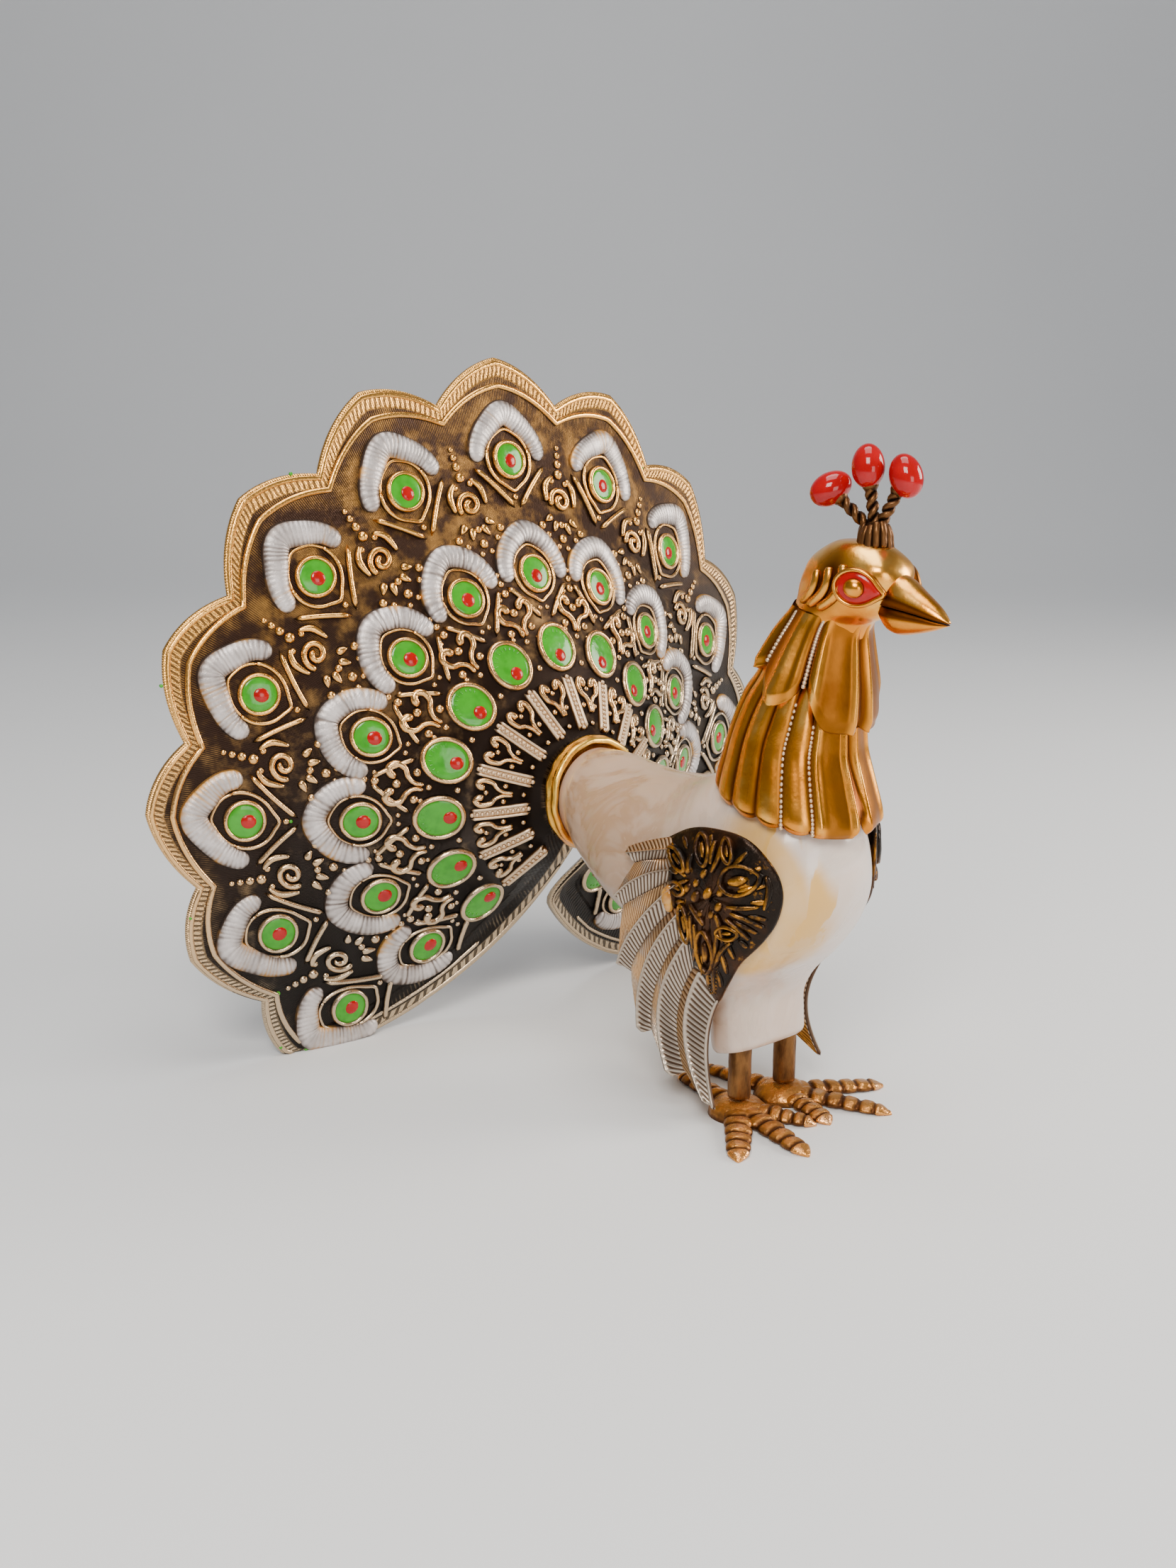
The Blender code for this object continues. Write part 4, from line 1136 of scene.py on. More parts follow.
def make_feet(finish):
    """The cast feet."""
    feet = (("right", -1, math.radians(10), 180), ("left", 1, math.radians(26), 163))
    for name, side, yaw, back in feet:
        mesh = new_form()
        low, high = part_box(name + "_leg")
        centre = Vector(((low.x + high.x) / 2, (low.y + high.y) / 2, 0.0))
        height = low.z / MM - 0.3
        toes = ((0, 18.0, 5.2, 3.4), (36, 17.6, 5.2, 3.4), (-38, 12.8, 4.9, 3.2), (back, 17.0, 5.0, 2.9))
        for turn, length, root, tip in toes:
            angle = side * (math.radians(turn) + yaw)
            direction = Vector((math.sin(angle), -math.cos(angle), 0.0))
            toe(mesh, centre - direction * 0.6 * MM, direction, length + 0.3, root, tip, height * 0.93)
        boss = ((0.0, 0.0, 0.4), (4.8, 0.0, 0.3), (4.6, 0.4, 0.6), (3.5, 0.78, 0.8), (2.3, 0.97, 0.9),
                (0.0, 1.0, 0.9))
        boss = [(radius, rise * height, worn) for radius, rise, worn in boss]
        turned(mesh, boss, 36, centre, Vector((0, 0, 1)))
        for vert in mesh.verts:
            if vert.co.z > 0.5 * MM:
                vert.co.z -= 0.22 * MM * (0.5 + noise.noise(vert.co * 420.0))
        piece(name + "_cast_foot", mesh, finish, name + "_foot", "cast_brass")


# Wings


def wing_point(y, z, height, side, lift):
    """A point over the wing's inner face, y, z and height in millimetres."""
    forward = max(0.0, WING_WRAP[0] - y)
    low = max(0.0, WING_LEAN[0] - z)
    hug = WING_HUG * max(0.0, 1 - ((z - WING_WAIST[0]) / WING_WAIST[1]) ** 2) ** 2
    out = WING_SIDE - WING_WRAP[1] * forward ** 2 - WING_LEAN[1] * low - hug + height
    point = Vector((side * out, y + WING_HUG_SHIFT[0] * hug, z + WING_HUG_SHIFT[1] * hug)) * MM
    return point + Vector((0, 0, lift))


def rib_point(rib, along):
    """A point of a feather's edge or midrib, from root (0) to tip (1)."""
    root, bend, tip = rib
    back = 1 - along
    return [back * back * root[i] + 2 * along * back * bend[i] + along * along * tip[i] for i in (0, 1)]


def shoulder_height(size):
    """The shoulder's dome over its inner face, in millimetres, size from 0 at its middle to 1 at its edge."""
    return 0.5 + 1.75 * (1 - size ** 2.4)


def shoulder_size(y, z):
    """How far out a point of the shoulder lies, from 0 at its middle to 1 at its edge."""
    angle = math.atan2(z - SHOULDER_MIDDLE[1], y - SHOULDER_MIDDLE[0])
    reach = math.hypot(y - SHOULDER_MIDDLE[0], z - SHOULDER_MIDDLE[1])
    best = 9.0
    for start, end in zip(SHOULDER_OUTLINE, SHOULDER_OUTLINE[1:]):
        a = Vector((start[0] - SHOULDER_MIDDLE[0], start[1] - SHOULDER_MIDDLE[1]))
        b = Vector((end[0] - SHOULDER_MIDDLE[0], end[1] - SHOULDER_MIDDLE[1]))
        ray = Vector((math.cos(angle), math.sin(angle)))
        cross = ray.x * (b.y - a.y) - ray.y * (b.x - a.x)
        if abs(cross) < 1e-9:
            continue
        distance = (a.x * (b.y - a.y) - a.y * (b.x - a.x)) / cross
        share = (a.x * ray.y - a.y * ray.x) / cross
        if distance > 0 and -0.001 <= share <= 1.001:
            best = min(best, reach / distance)
    return min(best, 1.0)


def on_shoulder(y, z, side, lift, rise=-0.1):
    """A place on the shoulder's dome, with the direction it faces."""
    point = wing_point(y, z, shoulder_height(shoulder_size(y, z)) + rise, side, lift)
    middle_y, middle_z = SHOULDER_MIDDLE
    return point, Vector((side, 0.02 * (y - middle_y), 0.02 * (z - middle_z))).normalized()


def loop_points(y, z, length, width, turn, steps=28):
    """A pointed petal's outline round its middle, its length turned from straight up, in degrees."""
    points = []
    for step in range(steps + 1):
        angle = TAU * step / steps
        up = length / 2 * math.cos(angle)
        out = width / 2 * math.sin(angle) * abs(math.sin(angle)) ** 0.35
        c, s = math.cos(math.radians(turn)), math.sin(math.radians(turn))
        points.append((y + out * c + up * s, z + up * c - out * s))
    return points


def make_shoulder(name, side, lift, finish):
    """The blackened shoulder with its petals and balls."""
    mesh = new_form()
    outline = smooth(SHOULDER_OUTLINE, 96)
    rings = 26

    def place(u, v):
        y, z = outline[round(u * 96) % 96]
        ring = round(v * rings)
        if ring <= 20:
            size = ring / 20
            height = shoulder_height(size)
        else:
            size = 1.0 - 0.02 * (ring == 21)
            height = 0.5 * (1 - (ring - 20) / 4) if ring < 24 else 0.0
            size = 1.0 if ring < 24 else (rings - ring) / 3
        ripple = noise.noise(Vector((y, z, 0.0)) * 0.45) * 0.25 * (1 - size ** 4)
        middle_y, middle_z = SHOULDER_MIDDLE
        return wing_point(middle_y + size * (y - middle_y), middle_z + size * (z - middle_z),
                          height + ripple if ring < 20 else height, side, lift)

    def worn(u, v):
        ring = round(v * rings)
        return 0.8 if ring > 20 else 0.0

    surface(mesh, 96, rings, place, worn=worn)

    petals = (
        (-20.4, 44.5, 4.8, 2.6, 24), (-15.0, 41.9, 5.0, 2.5, 62), (-27.4, 41.4, 5.6, 4.3, -70),
        (-21.5, 29.1, 6.6, 3.6, 2), (-16.7, 32.2, 5.8, 2.6, 12), (-25.9, 33.2, 3.6, 2.0, -80),
        (-25.2, 45.3, 3.8, 1.8, 28), (-15.2, 37.4, 4.2, 2.0, 95),
    )
    for y, z, length, width, turn in petals:
        line = [on_shoulder(*point, side, lift) for point in loop_points(y, z, length, width, turn)]
        ridge(mesh, line, 0.8, 0.95, 8, closed=True)
        up, out = math.cos(math.radians(turn)), math.sin(math.radians(turn))
        line = [on_shoulder(y + out * length * f, z + up * length * f, side, lift)
                for f in (-0.3, -0.2, -0.1, 0.0, 0.1, 0.2, 0.3)]
        ridge(mesh, line, 0.42 * width, 0.75, 8, tapering=belly(0.25, 0.8))
    strokes = (
        ((-26.0, 37.4), (-28.3, 37.5), (-30.2, 37.8)), ((-24.0, 35.8), (-24.6, 34.2), (-25.2, 31.4)),
        ((-22.9, 41.6), (-23.8, 44.0), (-24.0, 46.2)), ((-18.4, 36.0), (-20.0, 34.6), (-21.8, 33.4)),
        ((-13.4, 40.4), (-13.3, 37.2), (-14.2, 34.0)), ((-30.6, 42.4), (-31.0, 40.0), (-30.6, 37.2)),
        ((-18.0, 39.4), (-16.4, 38.6), (-14.8, 37.6)), ((-23.2, 27.0), (-24.6, 30.0), (-26.6, 32.0)),
        ((-18.6, 43.6), (-18.0, 42.2), (-18.3, 40.8)), ((-22.6, 42.8), (-22.4, 44.4), (-22.6, 46.4)),
        ((-26.6, 36.6), (-28.8, 35.8), (-30.6, 34.6)), ((-25.8, 35.6), (-27.6, 34.2), (-29.0, 32.6)),
        ((-18.6, 34.4), (-18.4, 31.6), (-18.8, 28.8)), ((-15.6, 39.9), (-14.2, 39.8), (-12.9, 40.0)),
        ((-19.4, 33.2), (-19.6, 30.4), (-19.9, 27.0)), ((-24.2, 32.8), (-23.8, 30.6), (-23.4, 28.6)),
    )
    for stroke in strokes:
        line = [on_shoulder(*point, side, lift) for point in smooth(stroke, 14)]
        ridge(mesh, line, 0.9, 0.8, tapering=belly(0.5, 0.7))
    middle_y, middle_z = SHOULDER_MIDDLE
    for streak in range(24):
        y, z = outline[streak * 4]
        start = 0.62 + 0.14 * math.sin(2.4 * streak)
        line = []
        for step in range(9):
            size = start + (0.93 - start) * step / 8
            spot = (middle_y + size * (y - middle_y), middle_z + size * (z - middle_z))
            line.append(on_shoulder(*spot, side, lift))
        ridge(mesh, line, 1.0, 0.42, tapering=belly(0.4, 0.8))
    balls = (
        (-21.3, 41.2, 0.9), (-17.9, 41.0, 0.8), (-17.8, 38.2, 0.9), (-19.7, 37.3, 1.1), (-22.3, 38.4, 1.1),
        (-24.8, 39.2, 0.9), (-24.4, 36.9, 0.9), (-20.6, 34.9, 0.8), (-23.0, 35.4, 0.8), (-19.8, 39.4, 0.8),
    )
    for y, z, radius in balls:
        point, front = on_shoulder(y, z, side, lift, -0.2)
        turned(mesh, dome(radius, 0.0, radius * 0.9, 5), 14, point, front, (0.75, 1.15), Vector((0, 1, 0.6)))
    for row in range(8):
        for column in range(3):
            y = -22.4 - 0.62 * column + 0.1 * row
            z = 26.6 - 0.62 * row + 0.3 * column
            point, front = on_shoulder(y, z, side, lift)
            turned(mesh, dome(0.3, 0.0, 0.32, 3), 7, point, front)
    piece(name + "_shoulder", mesh, finish, name, "antiqued_silver")


def make_feathers(name, side, lift, finish):
    """The six feathers, each with slanting barbs on both sides of its midrib."""
    mesh = new_form()
    steps = 150
    across = 28
    for feather in range(6):
        upper, middle, lower = WING_RIBS[2 * feather:2 * feather + 3]
        length = math.dist(middle[0], middle[2])
        pitch = (0.85, 0.9, 0.95, 0.95, 0.95, 0.95)[feather]

        def spot(u, v, upper=upper, middle=middle, lower=lower):
            along = -0.10 + 1.10 * u
            wide = min(2 * v, 2 - 2 * v)
            side_of_rib = 2 * wide
            if side_of_rib <= 1:
                start, end, f = upper, middle, side_of_rib
            else:
                start, end, f = middle, lower, side_of_rib - 1
            bulge = 0.5 - 0.5 * math.cos(math.pi * f)
            f = f + (bulge - f) * 0.6
            a, b = rib_point(start, along), rib_point(end, along)
            return a[0] + (b[0] - a[0]) * f, a[1] + (b[1] - a[1]) * f, wide, along

        def barb(u, v, length=length, pitch=pitch):
            wide = min(2 * v, 2 - 2 * v)
            slant = abs(wide - 0.5) * 2
            return 0.5 + 0.5 * math.sin(TAU * (u * length * 1.12 / pitch - 1.9 * slant))

        def place(u, v, spot=spot, barb=barb):
            y, z, wide, along = spot(u, v)
            crown = 1 - abs(wide - 0.5) * 2
            height = 0.5 + 0.85 * crown ** 0.8 + 0.3 * (barb(u, v) - 0.5) * min(1.0, 5 * (1 - crown)) \
                + 0.35 * hill(wide, 0.5, 0.05)
            if wide > 0.5:
                height -= 0.15
            height = max(height, 0.4) * min(1.0, 14 * (1 - u) + 0.35)
            if v > 0.5:
                height = 0.15
            if u == 1.0:
                height = 0.25
            return wing_point(y, z, height, side, lift)

        def worn(u, v, barb=barb):
            wide = min(2 * v, 2 - 2 * v)
            return max(barb(u, v), hill(wide, 0.5, 0.06))

        # 1 on a feather's upper half, painted warmer as lit; the lower half is painted greyer as in shade.
        def warm(u, v):
            return 1.0 if min(2 * v, 2 - 2 * v) < 0.5 else 0.0

        def inner(u, v):
            return 1.0 if v > 0.52 else 0.0

        surface(mesh, steps, 2 * across, place, worn=worn, warm=warm, inner=inner)
    edge = [(wing_point(*rib_point(WING_RIBS[-1], step / 40), 0.5, side, lift), Vector((side, 0, 0)))
            for step in range(41)]
    ridge(mesh, edge, 0.6, 0.5)
    piece(name + "_feathers", mesh, finish, name, "antiqued_silver")


def make_glue(finish):
    """Amber drops of glue at the wing's root."""
    mesh = new_form()
    for y, z, radius in ((-12.3, 35.2, 1.3), (-13.0, 36.8, 0.6), (-12.7, 34.0, 0.8)):
        point = wing_point(y, z, 1.0, -1, 0.0)
        axis, aside = Vector((-1, 0.2, 0)), Vector((0, 1, 0))
        turned(mesh, dome(radius, 0.0, 0.75, 6), 20, point, axis, (1.0, 1.3), aside)
    piece("wing_glue", mesh, finish, "right_wing", "antiqued_silver")


# Finishes


class Shade:
    """A socket of a material's nodes, so that shader maths reads as maths."""

    def __init__(self, finish, socket):
        self.finish = finish
        self.socket = socket

    def maths(self, operation, *values):
        return self.finish.node("ShaderNodeMath", {"operation": operation}, dict(enumerate(values)))

    def __add__(self, other):
        return self.maths("ADD", self, other)

    __radd__ = __add__

    def __sub__(self, other):
        return self.maths("SUBTRACT", self, other)

    def __rsub__(self, other):
        return self.maths("SUBTRACT", other, self)

    def __mul__(self, other):
        return self.maths("MULTIPLY", self, other)

    __rmul__ = __mul__

    def __pow__(self, other):
        return self.maths("POWER", self, other)

    def rises(self, low, high):
        """0 below low, 1 above high and smooth between; falls where low is above high."""
        settings = {"interpolation_type": "SMOOTHSTEP"}
        inputs = {"Value": self, "From Min": low, "From Max": high, "To Min": 0.0, "To Max": 1.0}
        if low > high:
            inputs.update({"From Min": high, "From Max": low, "To Min": 1.0, "To Max": 0.0})
        return self.finish.node("ShaderNodeMapRange", settings, inputs)


class Finish:
    """A material with one method for its nodes."""

    def __init__(self, name, **constants):
        self.material = bpy.data.materials.new(name)
        self.material.use_nodes = True
        self.tree = self.material.node_tree
        self.shader = self.tree.nodes["Principled BSDF"]
        for socket, value in constants.items():
            self.shader.inputs[socket.replace("_", " ")].default_value = value

    def feed(self, socket, value):
        if isinstance(value, Shade):
            self.tree.links.new(value.socket, socket)
        elif isinstance(value, tuple) and len(value) == 3 and len(socket.default_value) == 4:
            socket.default_value = (*value, 1.0)
        else:
            socket.default_value = value

    def node(self, kind, settings=None, inputs=None, output=0):
        made = self.tree.nodes.new(kind)
        for name, value in (settings or {}).items():
            setattr(made, name, value)
        for name, value in (inputs or {}).items():
            self.feed(made.inputs[name], value)
        return Shade(self, made.outputs[output])

    def wear(self, **sockets):
        """Feeds the shader's sockets: what changes over the surface."""
        for name, value in sockets.items():
            self.feed(self.shader.inputs[name.replace("_", " ")], value)
        return self

    def place(self):
        return self.node("ShaderNodeTexCoord", output="Object")

    def mark(self, name):
        return self.node("ShaderNodeAttribute", {"attribute_name": name}, output="Fac")

    def axis(self, place, name):
        return self.node("ShaderNodeSeparateXYZ", None, {0: place}, output=name)

    def clouds(self, scale, detail=3.0, roughness=0.55, distortion=0.0, place=None):
        inputs = {"Vector": place or self.place(), "Scale": scale, "Detail": detail, "Roughness": roughness,
                  "Distortion": distortion}
        return self.node("ShaderNodeTexNoise", None, inputs)

    def mix(self, factor, first, second, how="MIX"):
        settings = {"data_type": "RGBA", "blend_type": how, "clamp_factor": True}
        return self.node("ShaderNodeMix", settings, {0: factor, 6: first, 7: second}, output=2)

    def bump(self, height, distance):
        return self.node("ShaderNodeBump", None, {"Height": height, "Distance": distance, "Strength": 1.0})


def tail_tone_and_light(finish):
    """0 at the tail's warm, brighter upper left and 1 at its grey, darker lower right: partly the metal's own
    tone and partly painted light and shade, as if lit from the upper left.
    """
    place = finish.place()
    drift = finish.clouds(30.0, 2.0) * 0.5 + 1.12
    return (finish.axis(place, "X") * 5.0 - finish.axis(place, "Z") * 14.0 + drift).rises(0.0, 1.0)


def bronze_finish():
    """Antiqued bronze: champagne on raised tops, partly rubbed wear and partly painted highlight, and
    black-brown below, partly antiquing and partly painted shade at the bases of the relief.
    """
    finish = Finish("antiqued_bronze")
    tone_and_light = tail_tone_and_light(finish)
    # Bright share: rubbing plus painted highlight on the tops, with painted shade where the relief meets the
    # sheet.
    rubbed_and_lit = (finish.mark("worn") + finish.clouds(900.0) * 0.5 - 0.25).rises(0.22, 0.8)
    # Both colours are painted brighter and warmer towards the tail's upper left, partly as light.
    bright = finish.mix(tone_and_light, (1.0, 0.51, 0.12), (0.62, 0.47, 0.31))
    dark = finish.mix(tone_and_light, (0.040, 0.015, 0.005), (0.014, 0.010, 0.007))
    grain = finish.clouds(2600.0, 2.0)
    finish.wear(Base_Color=finish.mix(rubbed_and_lit, dark, bright), Metallic=rubbed_and_lit * 0.3 + 0.7,
                Roughness=0.34 - rubbed_and_lit * 0.16 + grain * 0.08, Normal=finish.bump(grain, 0.00005))
    return finish.material


def sheet_finish():
    """The stamped ground: dark, hatched, with a bright rim whose dashes stay dark, and golden patches that
    are partly stains and partly a painted sheen; rim and patches are painted brighter towards the upper left.
    """
    finish = Finish("stamped_ground")
    tone_and_light = tail_tone_and_light(finish)
    edge = finish.mark("edge")
    dash = finish.mark("dash")
    slanted = (dash + edge * 0.3 + finish.clouds(240.0, 2.0) * 1.2) * TAU
    waves = slanted.maths("SINE", slanted)
    band = edge.rises(3.1, 2.5)
    dashes = waves.rises(0.1, 0.6) * edge.rises(0.7, 1.3) * band
    hatch = dash.maths("SINE", dash * (TAU * 2.4))
    ground = finish.clouds(1100.0, 4.0, 0.65)
    stains = finish.clouds(230.0, 4.0, 0.6)
    # Golden patches: partly stains, partly a painted sheen that grows towards the upper left.
    patches = (stains + hatch * 0.12 * edge.rises(8.0, 5.0) - tone_and_light * 0.16).rises(0.44, 0.72)
    front = finish.mark("worn")
    rim = band * (1 - dashes * 0.85)
    rubbed_and_lit = rim.maths("MAXIMUM", rim, patches * 0.26)
    rubbed_and_lit = rubbed_and_lit * (0.75 + ground * 0.5)
    bright = finish.mix(tone_and_light, (1.0, 0.51, 0.12), (0.60, 0.46, 0.30))
    dark = finish.mix(tone_and_light, (0.030, 0.011, 0.004), (0.011, 0.008, 0.006))
    colour = finish.mix(rubbed_and_lit, dark, bright)
    back = finish.mix(stains.rises(0.3, 0.7), (0.22, 0.145, 0.08), (0.34, 0.24, 0.14))
    relief = rubbed_and_lit * 0.5 + ground * 0.5 + hatch * 0.12 - dashes * 0.8
    finish.wear(Base_Color=finish.mix(front, back, colour), Metallic=rubbed_and_lit * 0.3 + 0.7,
                Roughness=0.34 - rubbed_and_lit * 0.12, Normal=finish.bump(relief, 0.0002))
    return finish.material


def rope_finish():
    """Silver-white paint, dark in the cross grooves and along the flanks, partly real dark hairlines and
    partly painted shade so the rope reads as round, with bronze showing at some edges.
    """
    finish = Finish("silver_paint")
    worn = finish.mark("worn")
    patches = finish.clouds(260.0, 3.0)
    # Silver on the crests; flanks and cross grooves take the dark base, partly hairlines and partly painted
    # shade.
    groove = (worn + patches * 0.4).rises(0.62, 1.12)
    silver = finish.mix(patches.rises(0.35, 0.7), (0.50, 0.45, 0.43), (0.72, 0.66, 0.64))
    base = finish.mix(finish.clouds(140.0).rises(0.5, 0.62), (0.12, 0.09, 0.075), (0.60, 0.32, 0.09))
    scratches = finish.clouds(3200.0, 3.0, 0.7)
    finish.wear(Base_Color=finish.mix(groove, base, silver), Metallic=0.8 - groove * 0.15,
                Roughness=0.44 - groove * 0.1 + scratches * 0.08, Normal=finish.bump(scratches, 0.00006))
    return finish.material


def enamel_finish(name, bright, deep):
    """Glossy enamel that pools a little deeper in places."""
    finish = Finish(name, Roughness=0.2, Coat_Weight=0.35, Coat_Roughness=0.05, Specular_IOR_Level=0.3)
    pools = finish.clouds(500.0, 2.0)
    ripple = finish.clouds(700.0, 1.0)
    colour = finish.mix(pools.rises(0.35, 0.75), bright, deep)
    finish.wear(Base_Color=colour, Normal=finish.bump(ripple, 0.00008))
    return finish.material


def gilt_finish():
    """Bright gilding with amber lacquer gathered at its edges."""
    finish = Finish("gilding", Metallic=1.0, Coat_Roughness=0.08)
    place = finish.place()
    amber = (finish.clouds(120.0, 3.0) + finish.axis(place, "Z").rises(0.048, 0.034) * 0.25).rises(0.5, 0.68)
    dents = finish.clouds(300.0, 2.0)
    finish.wear(Base_Color=finish.mix(amber, (1.0, 0.60, 0.10), (0.85, 0.32, 0.02)), Coat_Weight=amber * 0.8,
                Roughness=0.2 + dents * 0.16, Normal=finish.bump(dents, 0.0002))
    return finish.material


def pearl_finish():
    """Polished shell: near white at the breast, peach towards the tail, with faint layers and glue stains."""
    finish = Finish("polished_shell", Coat_Roughness=0.1, Coat_Weight=0.5, Subsurface_Weight=0.12,
                    Subsurface_Scale=0.004, Subsurface_Radius=(1.0, 0.6, 0.4))
    place = finish.place()
    x, y, z = (finish.axis(place, name) for name in ("X", "Y", "Z"))
    layers = finish.clouds(55.0, 4.0, 0.55, 1.6)
    swirl = layers.maths("SINE", layers * 40.0)
    to_tail = (y + layers * 0.020 - z * 0.15).rises(-0.034, 0.006)
    pearl = finish.mix(to_tail, (0.76, 0.64, 0.56), (0.42, 0.26, 0.155))
    pearl = finish.mix(layers.rises(0.42, 0.66) * 0.4, pearl, (0.74, 0.56, 0.45))
    pearl = finish.mix((swirl * 0.5 + 0.5) * 0.13, pearl, (0.84, 0.76, 0.70))
    pearl = finish.mix(z.rises(0.016, 0.008) * 0.5, pearl, (0.78, 0.64, 0.56))

    down = (y + 0.0235) * 0.098 * 1000
    rise = (z - 0.0375) * 0.089 * 1000
    out = (down * down + rise * rise) ** 0.5
    right_side = x.rises(0.002, -0.002)
    stretched = finish.node("ShaderNodeMapping", None, {0: place, 3: (1.0, 1.0, 0.22)})
    stroke = finish.clouds(240.0, 3.0, place=stretched)
    halo = out.rises(1.26, 1.14) * stroke.rises(0.49, 0.54) * right_side * y.rises(-0.024, -0.029)
    amber = halo * z.rises(0.025, 0.031) * 0.9
    rim = (finish.clouds(160.0, 2.0) * 0.5 + 0.5) * out.rises(1.16, 1.0) * right_side
    amber = amber.maths("MAXIMUM", amber, rim * y.rises(-0.018, -0.026))
    pearl = finish.mix(amber, pearl, (0.76, 0.42, 0.06))
    finish.wear(Base_Color=pearl, Roughness=0.22 + layers * 0.12,
                Normal=finish.bump(layers + swirl * 0.05, 0.00015))
    return finish.material


def brass_finish():
    """Warm brass, darker in its grooves and bright on its ridges, partly tarnish and wear and partly painted
    shade and painted highlight.
    """
    finish = Finish("warm_brass", Metallic=1.0)
    worn = finish.mark("worn")
    tarnish = finish.clouds(110.0, 4.0, 0.6)
    ridge_light = (worn + tarnish * 0.5 - 0.3).rises(0.15, 0.95)
    body = finish.mix(tarnish.rises(0.35, 0.7), (0.95, 0.40, 0.045), (0.74, 0.25, 0.018))
    # Groove colour: partly tarnish, partly painted shade.
    deep = (0.15, 0.04, 0.004)
    colour = finish.mix(ridge_light, deep, body)
    # Paler colour on the highest tops where tarnish is thin: partly wear, partly painted highlight.
    colour = finish.mix(worn.rises(0.85, 1.0) * tarnish.rises(0.55, 0.35) * 0.6, colour, (1.0, 0.62, 0.17))
    scuff = finish.clouds(1500.0, 3.0, 0.7)
    finish.wear(Base_Color=colour, Roughness=0.38 - ridge_light * 0.16 + scuff * 0.06,
                Normal=finish.bump(scuff * 0.15 + tarnish, 0.00012))
    return finish.material


def pale_metal_finish():
    """The worn whitish metal of small beads."""
    finish = Finish("worn_white_metal", Metallic=0.85)
    worn = finish.mark("worn")
    spots = finish.clouds(600.0, 2.0)
    rubbed_and_lit = (worn + spots * 0.4).rises(0.35, 0.9)
    finish.wear(Base_Color=finish.mix(rubbed_and_lit, (0.20, 0.08, 0.02), (0.74, 0.55, 0.36)),
                Roughness=0.34 + spots * 0.15)
    return finish.material


def shoulder_finish():
    """Blackened brass with gold on the tops of its relief and in scattered spots, partly rubbed wear and
    partly painted highlight.
    """
    finish = Finish("blackened_brass")
    worn = finish.mark("worn")
    spots = finish.clouds(330.0, 4.0, 0.65)
    # Gold on the relief's tops and in spots: partly wear, partly painted highlight.
    gold = (worn * 0.75 + spots * 1.1 - 0.70).rises(0.36, 1.0)
    gold = gold.maths("MAXIMUM", gold, spots.rises(0.60, 0.74) * 0.5)
    dark = finish.mix(finish.clouds(150.0).rises(0.4, 0.65), (0.010, 0.005, 0.002), (0.050, 0.018, 0.005))
    finish.wear(Base_Color=finish.mix(gold, dark, (0.95, 0.40, 0.04)), Metallic=gold * 0.3 + 0.7,
                Roughness=0.26 - gold * 0.06 + spots * 0.12, Normal=finish.bump(spots, 0.0003))
    return finish.material


def feather_finish():
    """Silvered barbs with copper-brown grooves; a feather's upper half is painted warmer as lit and its lower
    half greyer as shaded; gold on the inner face.
    """
    finish = Finish("silvered_feathers", Metallic=0.85)
    worn = finish.mark("worn")
    patches = finish.clouds(220.0, 3.0)
    barb = (worn + patches * 0.3 - 0.1).rises(0.25, 0.75)
    warm = finish.mark("warm")
    bright = finish.mix(warm * patches.rises(0.3, 0.6), (0.50, 0.42, 0.34), (0.62, 0.38, 0.19))
    groove = finish.mix(warm, (0.11, 0.065, 0.04), (0.17, 0.07, 0.022))
    outside = finish.mix(barb, groove, bright)
    inside = finish.mix(finish.clouds(420.0).rises(0.4, 0.65), (0.80, 0.40, 0.07), (0.98, 0.56, 0.14))
    inside = finish.mix(barb, (0.26, 0.10, 0.018), inside)
    finish.wear(Base_Color=finish.mix(finish.mark("inner"), outside, inside), Roughness=0.46 - barb * 0.12,
                Normal=finish.bump(patches, 0.0001))
    return finish.material


def dark_brass_finish(name, bright):
    """Dull dark brass, streaked."""
    finish = Finish(name, Metallic=0.8)
    place = finish.node("ShaderNodeMapping", None, {0: finish.place(), 3: (1.0, 1.0, 0.35)})
    streaks = finish.clouds(420.0, 4.0, 0.65, place=place)
    rubbed_and_lit = (finish.mark("worn") * 0.6 + streaks - 0.3).rises(0.2, 0.8)
    finish.wear(Base_Color=finish.mix(rubbed_and_lit, (0.030, 0.011, 0.004), bright),
                Roughness=0.5 - rubbed_and_lit * 0.14, Normal=finish.bump(streaks, 0.00025))
    return finish.material


def cast_brass_finish():
    """Cast brass, golden brown, pale on the rings and claws."""
    finish = Finish("cast_feet", Metallic=0.85)
    worn = finish.mark("worn")
    skin = finish.clouds(320.0, 4.0, 0.6)
    rubbed_and_lit = (worn * 0.8 + skin * 0.9 - 0.45).rises(0.15, 0.85)
    colour = finish.mix(rubbed_and_lit, (0.10, 0.034, 0.009), (0.78, 0.34, 0.08))
    colour = finish.mix(worn.rises(0.9, 1.0) * skin.rises(0.4, 0.6) * 0.5, colour, (0.84, 0.52, 0.32))
    finish.wear(Base_Color=colour, Roughness=0.42 - rubbed_and_lit * 0.16, Normal=finish.bump(skin, 0.0005))
    return finish.material


def glass_finish():
    """Glossy translucent red beads."""
    finish = Finish("red_glass", Roughness=0.1, Specular_IOR_Level=0.3, Coat_Weight=0.25, Coat_Roughness=0.03)
    depth = finish.clouds(260.0, 1.0)
    finish.wear(Base_Color=finish.mix(depth.rises(0.3, 0.7), (0.44, 0.0, 0.004), (0.32, 0.0, 0.002)))
    return finish.material


